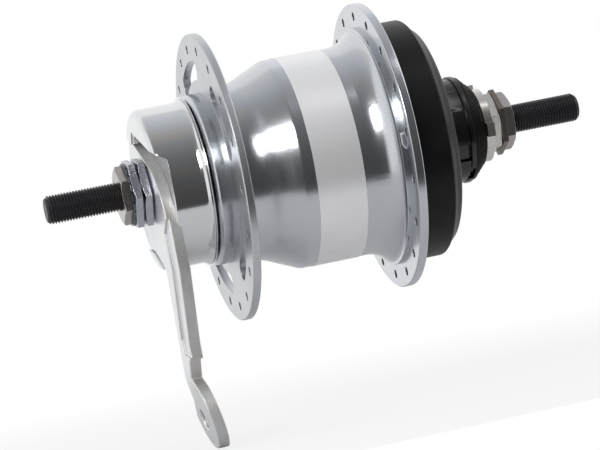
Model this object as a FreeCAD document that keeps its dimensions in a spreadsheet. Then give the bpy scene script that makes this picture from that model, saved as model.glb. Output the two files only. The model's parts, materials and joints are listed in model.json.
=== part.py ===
"""Internal gear hub for a bicycle's rear wheel, with a coaster brake, as separate pieces.

The axle lies along Y, with the drive side at +Y. The origin is on the axle, midway between the outer
faces of the two locknuts. The brake arm hangs down, towards -Z. Sizes are in millimetres.
"""

import FreeCAD, Part
import Sketcher
import math
import os

os.makedirs("parts", exist_ok=True)

SIZES = {
    # Axle
    "thread_radius": 4.75,
    "thread_grip_radius": 4.45,
    "thread_runout": 0.3,
    "axle_shank_radius": 5.9,
    "axle_tip_chamfer": 1.2,
    "left_thread_length": 24.5,
    "right_thread_length": 24.5,
    "thread_clearance": 0.05,
    "shaft_clearance": 0.15,
    "left_lock_face": 67.5,
    # Nuts and washers on the brake side, from the outside in
    "locknut_thickness": 2.7,
    "locknut_across": 17.0,
    "lock_washer_thickness": 0.7,
    "lock_washer_radius": 10.4,
    "washer_notch_depth": 0.8,
    "washer_notch_half_width": 0.9,
    "washer_notch_count": 20,
    "stop_nut_thickness": 2.5,
    "stop_nut_across": 21.0,
    "spacer_thickness": 0.7,
    "spacer_radius": 9.6,
    "clamp_nut_thickness": 2.5,
    "collar_thickness": 0.7,
    "nut_chamfer": 0.8,
    # Brake arm
    "arm_thickness": 3.9,
    "arm_blank": 6.0,
    "arm_head_inset": 1.5,
    "arm_recess_gap": 0.4,
    "arm_step": 0.9,
    "arm_step_width": 8.0,
    "arm_hole_radius": 3.5,
    "arm_hole_drop": 77.0,
    "arm_hole_side": 3.5,
    "arm_tab_radius": 12.6,
    "arm_tab_side": 5.3,
    "arm_tab_drop": 74.5,
    "arm_bend_drop": 63.0,
    "arm_bend_angle": 11.3,
    "cone_boss_radius": 7.0,
    # Cover over the brake's end
    "cover_radius": 26.8,
    "cover_wall": 1.6,
    "cover_end_depth": 4.6,
    "cover_rounding": 2.2,
    "cover_length": 12.4,
    "rim_rounding": 0.5,
    "bead_height": 1.6,
    "bead_width": 3.3,
    "bead_sweep": 3.4,
    "seal_gap": 0.8,
    # Hub shell
    "neck_wall": 3.5,
    "neck_length": 5.3,
    "neck_chamfer": 1.2,
    "waist_step": 0.8,
    "waist_arc_radius": 18.0,
    "waist_arc_length": 7.2,
    "barrel_wall": 3.0,
    "barrel_start": 23.2,
    "barrel_length": 22.3,
    "barrel_edge": 0.9,
    "barrel_edge_height": 0.2,
    "slope_length": 8.1,
    "slope_height": 3.8,
    "shell_edge": 0.3,
    "flare_radius": 10.7,
    "flare_height": 4.5,
    "flare_length": 8.7,
    "flange_root_step": 4.2,
    "flange_gap": 55.8,
    "left_flange_thickness": 2.7,
    "right_flange_thickness": 3.0,
    "flange_depth": 7.8,
    "left_spoke_edge": 4.8,
    "right_spoke_edge": 4.2,
    "spoke_hole_radius": 1.45,
    "spoke_count": 18,
    "left_spoke_turn": -1.8,
    "right_spoke_turn": 8.2,
    "window_count": 5,
    "window_edge": 8.8,
    "window_height": 6.6,
    "window_sweep": 36.0,
    "window_turn": -9.5,
    "brake_bore_radius": 25.0,
    "brake_bore_length": 13.6,
    "ring_wall": 3.3,
    "throat_wall": 3.0,
    "cup_wall": 4.0,
    "cap_seat_length": 7.2,
    "label_start": 3.2,
    "label_width": 16.0,
    "label_thickness": 0.12,
    # Dust cap on the drive side
    "cap_skirt": 4.0,
    "cap_length": 16.3,
    "cap_rim_length": 11.7,
    "cap_step": 0.7,
    "cap_shoulder": 1.2,
    "cap_slope": 0.9,
    "cap_arc_radius": 9.0,
    "cap_end_inset": 3.0,
    "cap_wall": 2.2,
    "cap_opening": 24.0,
    # Bearings
    "cone_body_radius": 12.0,
    "cage_gap": 0.9,
    "cage_web": 1.0,
    "cage_lip": 0.6,
    "cage_side_gap": 0.3,
    "cup_web": 1.5,
    "left_race_radius": 18.0,
    "left_ball_radius": 2.2,
    "right_race_radius": 20.0,
    "right_ball_radius": 2.4,
    "ball_clearance": 0.15,
    "race_length": 5.6,
    "race_shoulder": 1.4,
    # Coaster brake
    "shoe_clearance": 0.45,
    "shoe_thickness": 4.0,
    "shoe_length": 9.6,
    "shoe_sweep": 108.0,
    "cam_gap": 0.3,
    # Gear train
    "gear_module": 1.4,
    "side_gap": 0.5,
    "planet_pin_radius": 2.4,
    "pin_clearance": 0.1,
    "cluster_gear_width": 4.4,
    "input_gear_width": 5.0,
    "carrier_radius": 25.8,
    "carrier_plate": 2.2,
    "carrier_middle_plate": 3.0,
    "carrier_post_radius": 3.0,
    "carrier_post_circle": 21.0,
    "ring_outer_gap": 0.8,
    "ring_rim": 2.0,
    "ring_web": 2.8,
    # Driver, shift sleeve and the nuts on the drive side
    "driver_bore_radius": 11.0,
    "driver_seat_radius": 17.5,
    "driver_length": 26.9,
    "driver_step": 0.5,
    "seat_gap": 0.9,
    "driver_notch_width": 6.0,
    "driver_notch_depth": 1.3,
    "snap_ring_section": 1.6,
    "snap_groove_depth": 1.0,
    "snap_ring_gap_half": 3.0,
    "snap_ring_gap_turn": 150.0,
    "spigot_wall": 1.4,
    "spigot_length": 2.8,
    "cap_lip_gap": 0.3,
    "dust_ring_thickness": 2.4,
    "dust_ring_gap": 0.5,
    "ribbed_cap_length": 5.2,
    "ribbed_cap_end_radius": 13.6,
    "inner_cone_gap": 0.3,
    "cone_setback": 4.0,
    "sleeve_radius": 10.5,
    "sleeve_clearance": 0.3,
    "sleeve_lug_turn": 100.0,
    "sleeve_inside_length": 10.4,
    "sleeve_flange_radius": 12.4,
    "sleeve_flange_thickness": 2.6,
    "sleeve_lug_reach": 1.6,
    "sleeve_lug_width": 4.5,
    "cone_nut_thickness": 3.2,
    "cone_nut_across": 18.2,
    "turn_washer_thickness": 1.8,
    "turn_washer_across": 19.4,
    "right_locknut_thickness": 3.3,
}

PLANETS = 3
SAME_POINT = 0.000001
# Tooth counts; every sun's and ring's count is a multiple of the planets, so all planets mesh in step
SUN_TEETH = {"one": 12, "two": 15, "three": 18}
CLUSTER_TEETH = {"one": 15, "two": 12, "three": 9}
INPUT_SUN_TEETH = 21
INPUT_PLANET_TEETH = 9
RING_TEETH = 39
PRESSURE_ANGLE = math.radians(22)
ADDENDUM = 0.65
DEDENDUM = 1.0
BACKLASH = 0.25
TOOTH_OVERCUT = 0.3
LEFT_BALL_COUNT = 12
RIGHT_BALL_COUNT = 12
BALL_SIDES = 8
INPUT_TURN = 60
WINDOW_ROUNDNESS = 1.03
BALL_FLAT = math.cos(math.pi / BALL_SIDES)

doc = FreeCAD.newDocument("GearHub")
sheet = doc.addObject("Spreadsheet::Sheet", "Sizes")
for row, (alias, number) in enumerate(SIZES.items(), start=1):
    sheet.set(f"A{row}", alias)
    sheet.set(f"B{row}", str(number))
    sheet.setAlias(f"B{row}", alias)
doc.recompute()

parts = []


def size(name):
    """The expression that reads one cell of the sheet."""
    return f"Sizes.{name}"


def total(base, *names):
    """The expression of a base plus the named sizes; a name that starts with - is taken away."""
    terms = [f" - Sizes.{n[1:]}" if n.startswith("-") else f" + Sizes.{n}" for n in names]
    return f"({base}{''.join(terms)})"


def value(expression):
    """What an expression gives now."""
    return float(sheet.evalExpression(str(expression)))


# Stations along the axle, from the brake side to the drive side
LEFT_LOCK_FACE = "(-Sizes.left_lock_face)"
LOCK_WASHER = total(LEFT_LOCK_FACE, "locknut_thickness")
STOP_NUT = total(LOCK_WASHER, "lock_washer_thickness")
SPACER = total(STOP_NUT, "stop_nut_thickness")
CLAMP_NUT = total(SPACER, "spacer_thickness")
COLLAR = total(CLAMP_NUT, "clamp_nut_thickness")
ARM_FACE = total(COLLAR, "collar_thickness")
ARM_BACK = total(ARM_FACE, "arm_thickness")
COVER_FACE = total(ARM_BACK, "-cover_end_depth")
COVER_FLOOR = total(ARM_BACK, "cover_wall")
COVER_END = total(ARM_BACK, "cover_length")
NECK_END = total(COVER_END, "seal_gap")
LEFT_FLANGE = total(NECK_END, "neck_length")
WAIST = total(LEFT_FLANGE, "left_flange_thickness")
BRAKE_BORE_END = total(LEFT_FLANGE, "brake_bore_length")
RIGHT_FLANGE = total(LEFT_FLANGE, "flange_gap")
RIGHT_FLANGE_BACK = total(RIGHT_FLANGE, "right_flange_thickness")
CAP_SEAT_END = total(RIGHT_FLANGE_BACK, "cap_seat_length")
CAP_END = total(RIGHT_FLANGE_BACK, "cap_length")
DRIVER_END = total(RIGHT_FLANGE_BACK, "driver_length")
RIBBED_CAP_END = total(DRIVER_END, "ribbed_cap_length")
SLEEVE_FLANGE = total(RIBBED_CAP_END, "side_gap")
CONE_NUT = total(SLEEVE_FLANGE, "sleeve_flange_thickness", "side_gap")
TURN_WASHER = total(CONE_NUT, "cone_nut_thickness")
RIGHT_LOCKNUT = total(TURN_WASHER, "turn_washer_thickness")
RIGHT_LOCK_FACE = total(RIGHT_LOCKNUT, "right_locknut_thickness")

# Stations of the gear train
CARRIER_LEFT = total(BRAKE_BORE_END, "side_gap")
ZONE_THREE = total(CARRIER_LEFT, "carrier_plate", "side_gap")
ZONE_TWO = total(ZONE_THREE, "cluster_gear_width", "side_gap")
ZONE_ONE = total(ZONE_TWO, "cluster_gear_width", "side_gap")
CARRIER_MIDDLE = total(ZONE_ONE, "cluster_gear_width", "side_gap")
ZONE_INPUT = total(CARRIER_MIDDLE, "carrier_middle_plate", "side_gap")
CARRIER_RIGHT = total(ZONE_INPUT, "input_gear_width", "side_gap")
RING_WEB = total(CARRIER_RIGHT, "carrier_plate", "side_gap")
DRIVER_TUBE = total(RING_WEB, "ring_web")

# Radii of the shell, from the bores outwards
GEAR_BORE = total(f"Sizes.gear_module * {RING_TEETH / 2 + DEDENDUM}", "ring_wall")
THROAT = total("0", "brake_bore_radius", "throat_wall")
NECK_RADIUS = total("0", "brake_bore_radius", "neck_wall")
WAIST_RADIUS = total(NECK_RADIUS, "waist_step")
BARREL = total(GEAR_BORE, "barrel_wall")
CAP_SEAT = total(GEAR_BORE, "cup_wall")
CAP_RADIUS = total(CAP_SEAT, "cap_skirt")
FLANGE_ROOT = total(CAP_SEAT, "flange_root_step")
FLANGE_RADIUS = total(FLANGE_ROOT, "flange_depth")
WINDOW_OUTER = total(FLANGE_RADIUS, "-window_edge")
WINDOW_INNER = total(WINDOW_OUTER, "-window_height")


def keep(shape_object, label):
    """Names a finished sub-part and lists it for writing."""
    shape_object.Label = label
    parts.append(shape_object)
    return shape_object


def origin_item(body, role):
    """A plane or an axis of a body's own origin."""
    return next(item for item in body.Origin.OriginFeatures if item.Role == role)


def new_sketch(body, name, role, station=None):
    """A sketch on a plane of the body's origin; on XZ it can stand at a station along the axle."""
    sketch = body.newObject("Sketcher::SketchObject", name)
    sketch.AttachmentSupport = [(origin_item(body, role), "")]
    sketch.MapMode = "FlatFace"
    if station is not None:
        sketch.setExpression("AttachmentOffset.Base.z", f"-({station})")
    return sketch


def arc_between(start, end, radius, side):
    """An arc from start to end whose centre lies left (1) or right (-1) of the way along."""
    chord = end - start
    normal = FreeCAD.Vector(-chord.y, chord.x, 0) * (side / chord.Length)
    rise = math.sqrt(max(radius ** 2 - chord.Length ** 2 / 4, 0))
    centre = (start + end) * 0.5 + normal * rise
    first = math.atan2(start.y - centre.y, start.x - centre.x)
    last = math.atan2(end.y - centre.y, end.x - centre.x)
    circle = Part.Circle(centre, FreeCAD.Vector(0, 0, 1), radius)
    return Part.ArcOfCircle(circle, first, last) if side > 0 else Part.ArcOfCircle(circle, last, first)


def pin_point(sketch, geometry, end, across, along):
    """Holds a point of a sketch at two expressions."""
    for kind, expression in (("DistanceX", across), ("DistanceY", along)):
        rule = Sketcher.Constraint(kind, -1, 1, geometry, end, value(expression))
        index = sketch.addConstraint(rule)
        sketch.setExpression(f"Constraints[{index}]", str(expression))


def pin_radius(sketch, geometry, radius):
    """Holds an arc's or a circle's radius at an expression."""
    index = sketch.addConstraint(Sketcher.Constraint("Radius", geometry, value(radius)))
    sketch.setExpression(f"Constraints[{index}]", str(radius))


def corner_point(corner):
    """Where a corner of an outline lies."""
    return FreeCAD.Vector(value(corner[0]), value(corner[1]), 0)


def apart(corners):
    """The corners of an outline, without one that falls on the corner after it."""
    kept = []
    for index, corner in enumerate(corners):
        follower = corners[(index + 1) % len(corners)]
        if corner_point(corner).distanceToPoint(corner_point(follower)) > SAME_POINT:
            kept.append(corner)
    return kept


def draw_outline(sketch, corners):
    """Draws a closed outline. A corner is (across, along), and (radius, side) for an arc that leaves it."""
    corners = apart(corners)
    points = [corner_point(corner) for corner in corners]
    base = sketch.GeometryCount
    starts = []
    for index, corner in enumerate(corners):
        start, end = points[index], points[(index + 1) % len(points)]
        if len(corner) > 2:
            radius, side = corner[2]
            sketch.addGeometry(arc_between(start, end, value(radius), side), False)
            starts.append(1 if side > 0 else 2)
        else:
            sketch.addGeometry(Part.LineSegment(start, end), False)
            starts.append(1)
    for index, corner in enumerate(corners):
        follower = (index + 1) % len(corners)
        joined = Sketcher.Constraint(
            "Coincident", base + index, 3 - starts[index], base + follower, starts[follower]
        )
        sketch.addConstraint(joined)
        pin_point(sketch, base + index, starts[index], corner[0], corner[1])
        if len(corner) > 2:
            pin_radius(sketch, base + index, corner[2][0])


def draw_circle(sketch, across, along, radius):
    """Draws a circle whose centre and radius are expressions."""
    centre = FreeCAD.Vector(value(across), value(along), 0)
    circle = Part.Circle(centre, FreeCAD.Vector(0, 0, 1), value(radius))
    index = sketch.addGeometry(circle, False)
    pin_point(sketch, index, 3, across, along)
    pin_radius(sketch, index, radius)


def turned_body(name, corners):
    """A body turned about the axle from an outline of (radius, station) corners."""
    body = doc.addObject("PartDesign::Body", name)
    sketch = new_sketch(body, f"{name}_profile", "XY_Plane")
    draw_outline(sketch, corners)
    turning = body.newObject("PartDesign::Revolution", f"{name}_turning")
    turning.Profile = sketch
    turning.ReferenceAxis = (sketch, ["V_Axis"])
    turning.Angle = 360
    return body


def ring_corners(inner, outer, start, end):
    """The outline of a plain ring."""
    return [(inner, start), (outer, start), (outer, end), (inner, end)]


def pocket_through(body, name, sketch):
    """Cuts a sketch through the whole body, both ways along the axle."""
    pocket = body.newObject("PartDesign::Pocket", name)
    pocket.Profile = sketch
    pocket.Type = "ThroughAll"
    pocket.SideType = "Symmetric"
    return pocket


def repeat_round(body, name, feature, count):
    """Repeats a feature evenly about the axle."""
    pattern = body.newObject("PartDesign::PolarPattern", name)
    pattern.Originals = [feature]
    pattern.Axis = (origin_item(body, "Y_Axis"), [""])
    pattern.Angle = 360
    pattern.setExpression("Occurrences", count)
    body.Tip = pattern
    return pattern


def polar(radius, turn):
    """Across and up for a radius and a turn in degrees from straight up towards +X."""
    return f"({radius}) * sin({turn})", f"({radius}) * cos({turn})"


def hex_nut(name, start, thickness, across, turn, bore=total("0", "thread_grip_radius", "thread_clearance")):
    """A hexagonal nut with a plain bore and chamfered corners on its outer side."""
    body = doc.addObject("PartDesign::Body", name)
    sketch = new_sketch(body, f"{name}_hexagon", "XZ_Plane", start)
    corner_radius = f"({across} / sqrt(3))"
    draw_outline(sketch, [polar(corner_radius, f"{turn + 60 * step}") for step in range(6)])
    draw_circle(sketch, "0", "0", bore)
    pad = body.newObject("PartDesign::Pad", f"{name}_pad")
    pad.Profile = sketch
    pad.setExpression("Length", thickness)
    pad.Reversed = True
    return body


def chamfer_corners(body, name, face, inward, across):
    """Turns the hexagon's corners off a nut's face; inward is 1 if the nut lies beyond the face."""
    sketch = new_sketch(body, f"{name}_chamfer", "XY_Plane")
    reach = f"({across} / sqrt(3))"
    flat = f"({across} / 2)"
    outline = [
        (flat, f"({face}) - {inward} * 0.1 * Sizes.nut_chamfer"),
        (f"{reach} + Sizes.nut_chamfer", f"({face}) - {inward} * 0.1 * Sizes.nut_chamfer"),
        (f"{reach} + Sizes.nut_chamfer", f"({face}) + {inward} * Sizes.nut_chamfer"),
    ]
    draw_outline(sketch, outline)
    groove = body.newObject("PartDesign::Groove", f"{name}_groove")
    groove.Profile = sketch
    groove.ReferenceAxis = (sketch, ["V_Axis"])
    groove.Angle = 360
    return body


def rod(name, radius, start, length, across="0", up="0", sweep=360, turn=0):
    """A cylinder along the axle's direction; less than 360 degrees of it makes a sector."""
    cylinder = doc.addObject("Part::Cylinder", name)
    cylinder.setExpression("Radius", radius)
    cylinder.setExpression("Height", length)
    cylinder.setExpression("Angle", str(sweep))
    upright = FreeCAD.Rotation(FreeCAD.Vector(1, 0, 0), -90)
    about_axle = FreeCAD.Rotation(FreeCAD.Vector(0, 1, 0), turn)
    cylinder.Placement = FreeCAD.Placement(FreeCAD.Vector(), about_axle * upright)
    cylinder.setExpression("Placement.Base.x", str(across))
    cylinder.setExpression("Placement.Base.y", start)
    cylinder.setExpression("Placement.Base.z", str(up))
    return cylinder


def cut(name, base, tool):
    """One shape less another."""
    result = doc.addObject("Part::Cut", name)
    result.Base = base
    result.Tool = tool
    return result


def fuse(name, shapes):
    """Several shapes as one."""
    result = doc.addObject("Part::MultiFuse", name)
    result.Shapes = shapes
    return result


def common(name, shapes):
    """What several shapes share."""
    result = doc.addObject("Part::MultiCommon", name)
    result.Shapes = shapes
    return result


def group(name, shapes):
    """Several separate solids in one sub-part."""
    result = doc.addObject("Part::Compound", name)
    result.Links = shapes
    return result


def prism(name, wire, start, length):
    """A closed flat outline in the XZ plane, drawn out along the axle from a station."""
    result = doc.addObject("Part::Extrusion", name)
    result.Base = wire
    result.DirMode = "Custom"
    result.Dir = FreeCAD.Vector(0, 1, 0)
    result.Solid = True
    result.setExpression("LengthFwd", length)
    result.setExpression("Placement.Base.y", start)
    return result


def gear_module(coefficient):
    """A length given in gear modules."""
    return f"(Sizes.gear_module * {coefficient:.6f})"


def half_gap(teeth, inside):
    """Half the width of the gap between two teeth, as a function of the height above the centre."""
    pitch = teeth / 2
    half_turn = (math.pi / 2 + BACKLASH) / teeth
    lean = math.pi / (2 * teeth)
    slope = -math.tan(PRESSURE_ANGLE - lean) if inside else math.tan(PRESSURE_ANGLE + lean)
    width, height = pitch * math.sin(half_turn), pitch * math.cos(half_turn)
    return lambda level: width + (level - height) * slope


def cut_teeth(body, name, teeth, start, width, gap_turn, inside=False):
    """Cuts the gaps between the teeth of a wheel, or of a ring if inside is true."""
    gap = half_gap(teeth, inside)
    outward = -1 if inside else 1
    open_level = teeth / 2 + outward * (ADDENDUM + TOOTH_OVERCUT)
    deep_level = teeth / 2 - outward * DEDENDUM
    corners = []
    for side, level in ((-1, open_level), (-1, deep_level), (1, deep_level), (1, open_level)):
        reach = side * gap(level)
        turn = math.radians(gap_turn)
        across = level * math.sin(turn) + reach * math.cos(turn)
        along = level * math.cos(turn) - reach * math.sin(turn)
        corners.append((gear_module(across), gear_module(along)))
    sketch = new_sketch(body, f"{name}_gap_outline", "XZ_Plane", start)
    draw_outline(sketch, corners)
    pocket = body.newObject("PartDesign::Pocket", f"{name}_gap")
    pocket.Profile = sketch
    pocket.setExpression("Length", width)
    return repeat_round(body, f"{name}_teeth", pocket, str(teeth))


def ring_pad(body, name, start, width, outer, inner=None):
    """Pads a disc or a ring from a station along the axle."""
    sketch = new_sketch(body, f"{name}_outline", "XZ_Plane", start)
    draw_circle(sketch, "0", "0", outer)
    if inner:
        draw_circle(sketch, "0", "0", inner)
    pad = body.newObject("PartDesign::Pad", f"{name}_pad")
    pad.Profile = sketch
    pad.setExpression("Length", width)
    pad.Reversed = True
    return pad


def sun_gear(name, teeth, start, width, bore, turn=0):
    """A sun gear with one tooth at the given turn."""
    body = doc.addObject("PartDesign::Body", name)
    ring_pad(body, name, start, width, gear_module(teeth / 2 + ADDENDUM), bore)
    cut_teeth(body, name, teeth, start, width, turn + 180 / teeth)
    return keep(body, name)


def place_planet(body, circle, turn):
    """Moves a planet out to its pin and turns it with the pin's place round the axle."""
    body.Placement = FreeCAD.Placement(
        FreeCAD.Vector(), FreeCAD.Rotation(FreeCAD.Vector(0, 1, 0), turn)
    )
    across, up = polar(circle, turn)
    body.setExpression("Placement.Base.x", across)
    body.setExpression("Placement.Base.z", up)


def blind_pocket(body, name, sketch, length, reverse=False):
    """Cuts a sketch along the axle, away from the brake side unless reversed."""
    pocket = body.newObject("PartDesign::Pocket", name)
    pocket.Profile = sketch
    pocket.setExpression("Length", length)
    pocket.Reversed = reverse
    return pocket


def rectangle_at(sketch, near, far, half_width, turn):
    """Draws a rectangle that reaches from a near to a far radius, about a direction."""
    cosine, sine = f"cos({turn})", f"sin({turn})"
    corners = []
    for reach, side in ((near, "-"), (far, "-"), (far, "+"), (near, "+")):
        across = f"({reach}) * {sine} {side} ({half_width}) * {cosine}"
        opposite = "+" if side == "-" else "-"
        along = f"({reach}) * {cosine} {opposite} ({half_width}) * {sine}"
        corners.append((across, along))
    draw_outline(sketch, corners)


THREAD_BORE = total("0", "thread_radius", "thread_clearance")
GRIP_BORE = total("0", "thread_grip_radius", "thread_clearance")
SHANK_BORE = total("0", "axle_shank_radius", "thread_clearance")
RUNNING_BORE = total("0", "axle_shank_radius", "shaft_clearance")

# Axle: the thread stands at its full radius where it is free and at its middle radius inside the nuts
AXLE_LEFT = total(LEFT_LOCK_FACE, "-left_thread_length")
AXLE_RIGHT = total(RIGHT_LOCK_FACE, "right_thread_length")
axle = turned_body("axle", [
    ("0", AXLE_LEFT),
    (total("0", "thread_radius", "-axle_tip_chamfer"), AXLE_LEFT),
    (size("thread_radius"), total(AXLE_LEFT, "axle_tip_chamfer")),
    (size("thread_radius"), total(LEFT_LOCK_FACE, "-thread_runout")),
    (size("thread_grip_radius"), total(LEFT_LOCK_FACE, "-thread_runout")),
    (size("thread_grip_radius"), COVER_FLOOR),
    (size("axle_shank_radius"), COVER_FLOOR),
    (size("axle_shank_radius"), CONE_NUT),
    (size("thread_grip_radius"), CONE_NUT),
    (size("thread_grip_radius"), total(RIGHT_LOCK_FACE, "thread_runout")),
    (size("thread_radius"), total(RIGHT_LOCK_FACE, "thread_runout")),
    (size("thread_radius"), total(AXLE_RIGHT, "-axle_tip_chamfer")),
    (total("0", "thread_radius", "-axle_tip_chamfer"), AXLE_RIGHT),
    ("0", AXLE_RIGHT),
])
keep(axle, "axle")

# Nuts and washers on the brake side
left_locknut = hex_nut("left_locknut", LEFT_LOCK_FACE, size("locknut_thickness"), size("locknut_across"), 30)
chamfer_corners(left_locknut, "left_locknut", LEFT_LOCK_FACE, 1, size("locknut_across"))
keep(left_locknut, "left_locknut")

left_lock_washer = turned_body("left_lock_washer", ring_corners(
    THREAD_BORE, size("lock_washer_radius"), LOCK_WASHER, STOP_NUT
))
notch = new_sketch(left_lock_washer, "washer_notch_outline", "XZ_Plane", LOCK_WASHER)
draw_outline(notch, [
    ("0", total("0", "lock_washer_radius", "-washer_notch_depth")),
    ("-Sizes.washer_notch_half_width", total("0", "lock_washer_radius", "washer_notch_depth")),
    (size("washer_notch_half_width"), total("0", "lock_washer_radius", "washer_notch_depth")),
])
washer_notch = blind_pocket(left_lock_washer, "washer_notch", notch, size("lock_washer_thickness"))
repeat_round(left_lock_washer, "washer_teeth", washer_notch, size("washer_notch_count"))
keep(left_lock_washer, "left_lock_washer")

arm_stop_nut = hex_nut("arm_stop_nut", STOP_NUT, size("stop_nut_thickness"), size("stop_nut_across"), 21.5)
chamfer_corners(arm_stop_nut, "arm_stop_nut", STOP_NUT, 1, size("stop_nut_across"))
keep(arm_stop_nut, "arm_stop_nut")

arm_spacer_washer = turned_body("arm_spacer_washer", ring_corners(
    THREAD_BORE, size("spacer_radius"), SPACER, CLAMP_NUT
))
keep(arm_spacer_washer, "arm_spacer_washer")

arm_clamp_nut = hex_nut("arm_clamp_nut", CLAMP_NUT, size("clamp_nut_thickness"), size("stop_nut_across"), 21.5)
chamfer_corners(arm_clamp_nut, "arm_clamp_nut", CLAMP_NUT, 1, size("stop_nut_across"))
keep(arm_clamp_nut, "arm_clamp_nut")

keep(hex_nut("arm_seat_collar", COLLAR, size("collar_thickness"), size("locknut_across"), 30), "arm_seat_collar")

# Brake arm: a flat outline, cut in front and behind to a pressed plate whose end leans to the hub
ARM_HEAD = total("0", "cover_radius", "-arm_head_inset")
ARM_EDGE = [
    ("3.5", "9.8"), ("14.3", "4.9"), ("20.3", "(-1.4)"), ("22.5", "(-7)"), ("23.3", "(-16.5)"),
    ("23.6", "(-27.4)"), ("14.3", "(-52)"), ("14.1", "(-57)"), ("10.3", "(-63)"),
]
ARM_FAR_EDGE = [("(-0.9)", "(-70)"), ("0.1", "(-59)"), ("1.3", "(-50)"), ("4.9", "(-27)"), ("(-8)", "(-20.5)")]
FAR_ACROSS = 0.692
FAR_DOWN = 0.722
CHORD_ACROSS = 0.67
CHORD_UP = 0.7424
STRIP_EDGE = ARM_EDGE[3:8]
STRIP_BACK = [
    ("(14.1 - Sizes.arm_step_width * 0.93)", "(-55)"),
    ("(14.3 - Sizes.arm_step_width)", "(-50)"),
    ("(23.4 - Sizes.arm_step_width)", "(-27.4)"),
    ("(22.8 - Sizes.arm_step_width)", "(-15)"),
]


def tab_point(across, up):
    """A point on the tab's rounded outline, from two parts of its radius."""
    return (
        f"(Sizes.arm_tab_side + Sizes.arm_tab_radius * {across})",
        f"(-Sizes.arm_tab_drop + Sizes.arm_tab_radius * {up})",
    )


brake_arm = doc.addObject("PartDesign::Body", "brake_arm")
arm_sketch = new_sketch(brake_arm, "arm_outline", "XZ_Plane", ARM_FACE)
arm_corners = list(ARM_EDGE)
arm_corners.append((*tab_point(0.627, 0.779), (size("arm_tab_radius"), -1)))
arm_corners.append((*tab_point(0, -1), (size("arm_tab_radius"), -1)))
arm_corners.append(tab_point(-0.996, -0.087))
arm_corners += ARM_FAR_EDGE
arm_corners.append((f"(-{FAR_ACROSS} * {ARM_HEAD})", f"(-{FAR_DOWN} * {ARM_HEAD})", (ARM_HEAD, -1)))
arm_corners.append((f"(-{CHORD_ACROSS} * {ARM_HEAD})", f"({CHORD_UP} * {ARM_HEAD})"))
draw_outline(arm_sketch, arm_corners)
draw_circle(arm_sketch, "0", "0", total("0", "cone_boss_radius", "thread_clearance"))
arm_pad = brake_arm.newObject("PartDesign::Pad", "arm_pad")
arm_pad.Profile = arm_sketch
arm_pad.setExpression("Length", total("0", "arm_thickness", "arm_blank"))
arm_pad.Reversed = True

ARM_TIP = "(-Sizes.arm_tab_drop - Sizes.arm_tab_radius - 1)"
TIP_SHIFT = "((Sizes.arm_tab_drop + Sizes.arm_tab_radius + 1 - Sizes.arm_bend_drop) * tan(Sizes.arm_bend_angle))"


def side_cut(name, corners):
    """Cuts the arm across its whole width with an outline of (station, height) corners."""
    sketch = new_sketch(brake_arm, f"{name}_outline", "YZ_Plane")
    draw_outline(sketch, corners)
    pocket = brake_arm.newObject("PartDesign::Pocket", name)
    pocket.Profile = sketch
    pocket.Type = "ThroughAll"
    pocket.SideType = "Symmetric"


side_cut("arm_front_cut", [
    (total(ARM_FACE, "-arm_step"), "(-Sizes.arm_bend_drop)"),
    (ARM_FACE, "(-Sizes.arm_bend_drop)"),
    (f"({ARM_FACE} + {TIP_SHIFT})", ARM_TIP),
    (total(ARM_FACE, "-arm_step"), ARM_TIP),
])
side_cut("arm_back_cut", [
    (ARM_BACK, size("cover_radius")),
    (ARM_BACK, "(-Sizes.arm_bend_drop)"),
    (f"({ARM_BACK} + {TIP_SHIFT})", ARM_TIP),
    (total(ARM_BACK, "arm_blank", "arm_step"), ARM_TIP),
    (total(ARM_BACK, "arm_blank", "arm_step"), size("cover_radius")),
])
strip_sketch = new_sketch(brake_arm, "strip_back_outline", "XZ_Plane", ARM_BACK)
draw_outline(strip_sketch, STRIP_EDGE + STRIP_BACK)
strip_pad = brake_arm.newObject("PartDesign::Pad", "strip_back")
strip_pad.Profile = strip_sketch
strip_pad.setExpression("Length", size("arm_step"))
strip_pad.Reversed = True
recess_sketch = new_sketch(brake_arm, "strip_front_outline", "XZ_Plane", ARM_FACE)
WIDE = "30"
draw_outline(recess_sketch, [(WIDE, "(-7)"), (WIDE, "(-57)"), *STRIP_BACK])
recess = blind_pocket(brake_arm, "strip_front", recess_sketch, size("arm_step"))
HOLE_SHIFT = "((Sizes.arm_hole_drop - Sizes.arm_bend_drop) * tan(Sizes.arm_bend_angle))"
hole_sketch = new_sketch(brake_arm, "clip_hole_outline", "XZ_Plane")
hole_sketch.AttachmentOffset = FreeCAD.Placement(
    FreeCAD.Vector(), FreeCAD.Rotation(FreeCAD.Vector(1, 0, 0), SIZES["arm_bend_angle"])
)
hole_sketch.setExpression("AttachmentOffset.Rotation.Angle", size("arm_bend_angle"))
hole_sketch.setExpression("AttachmentOffset.Base.x", size("arm_hole_side"))
hole_sketch.setExpression("AttachmentOffset.Base.y", "-Sizes.arm_hole_drop")
hole_sketch.setExpression("AttachmentOffset.Base.z", f"-({ARM_FACE} + {HOLE_SHIFT})")
draw_circle(hole_sketch, "0", "0", size("arm_hole_radius"))
pocket_through(brake_arm, "clip_hole", hole_sketch)
keep(brake_arm, "brake_arm")

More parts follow.
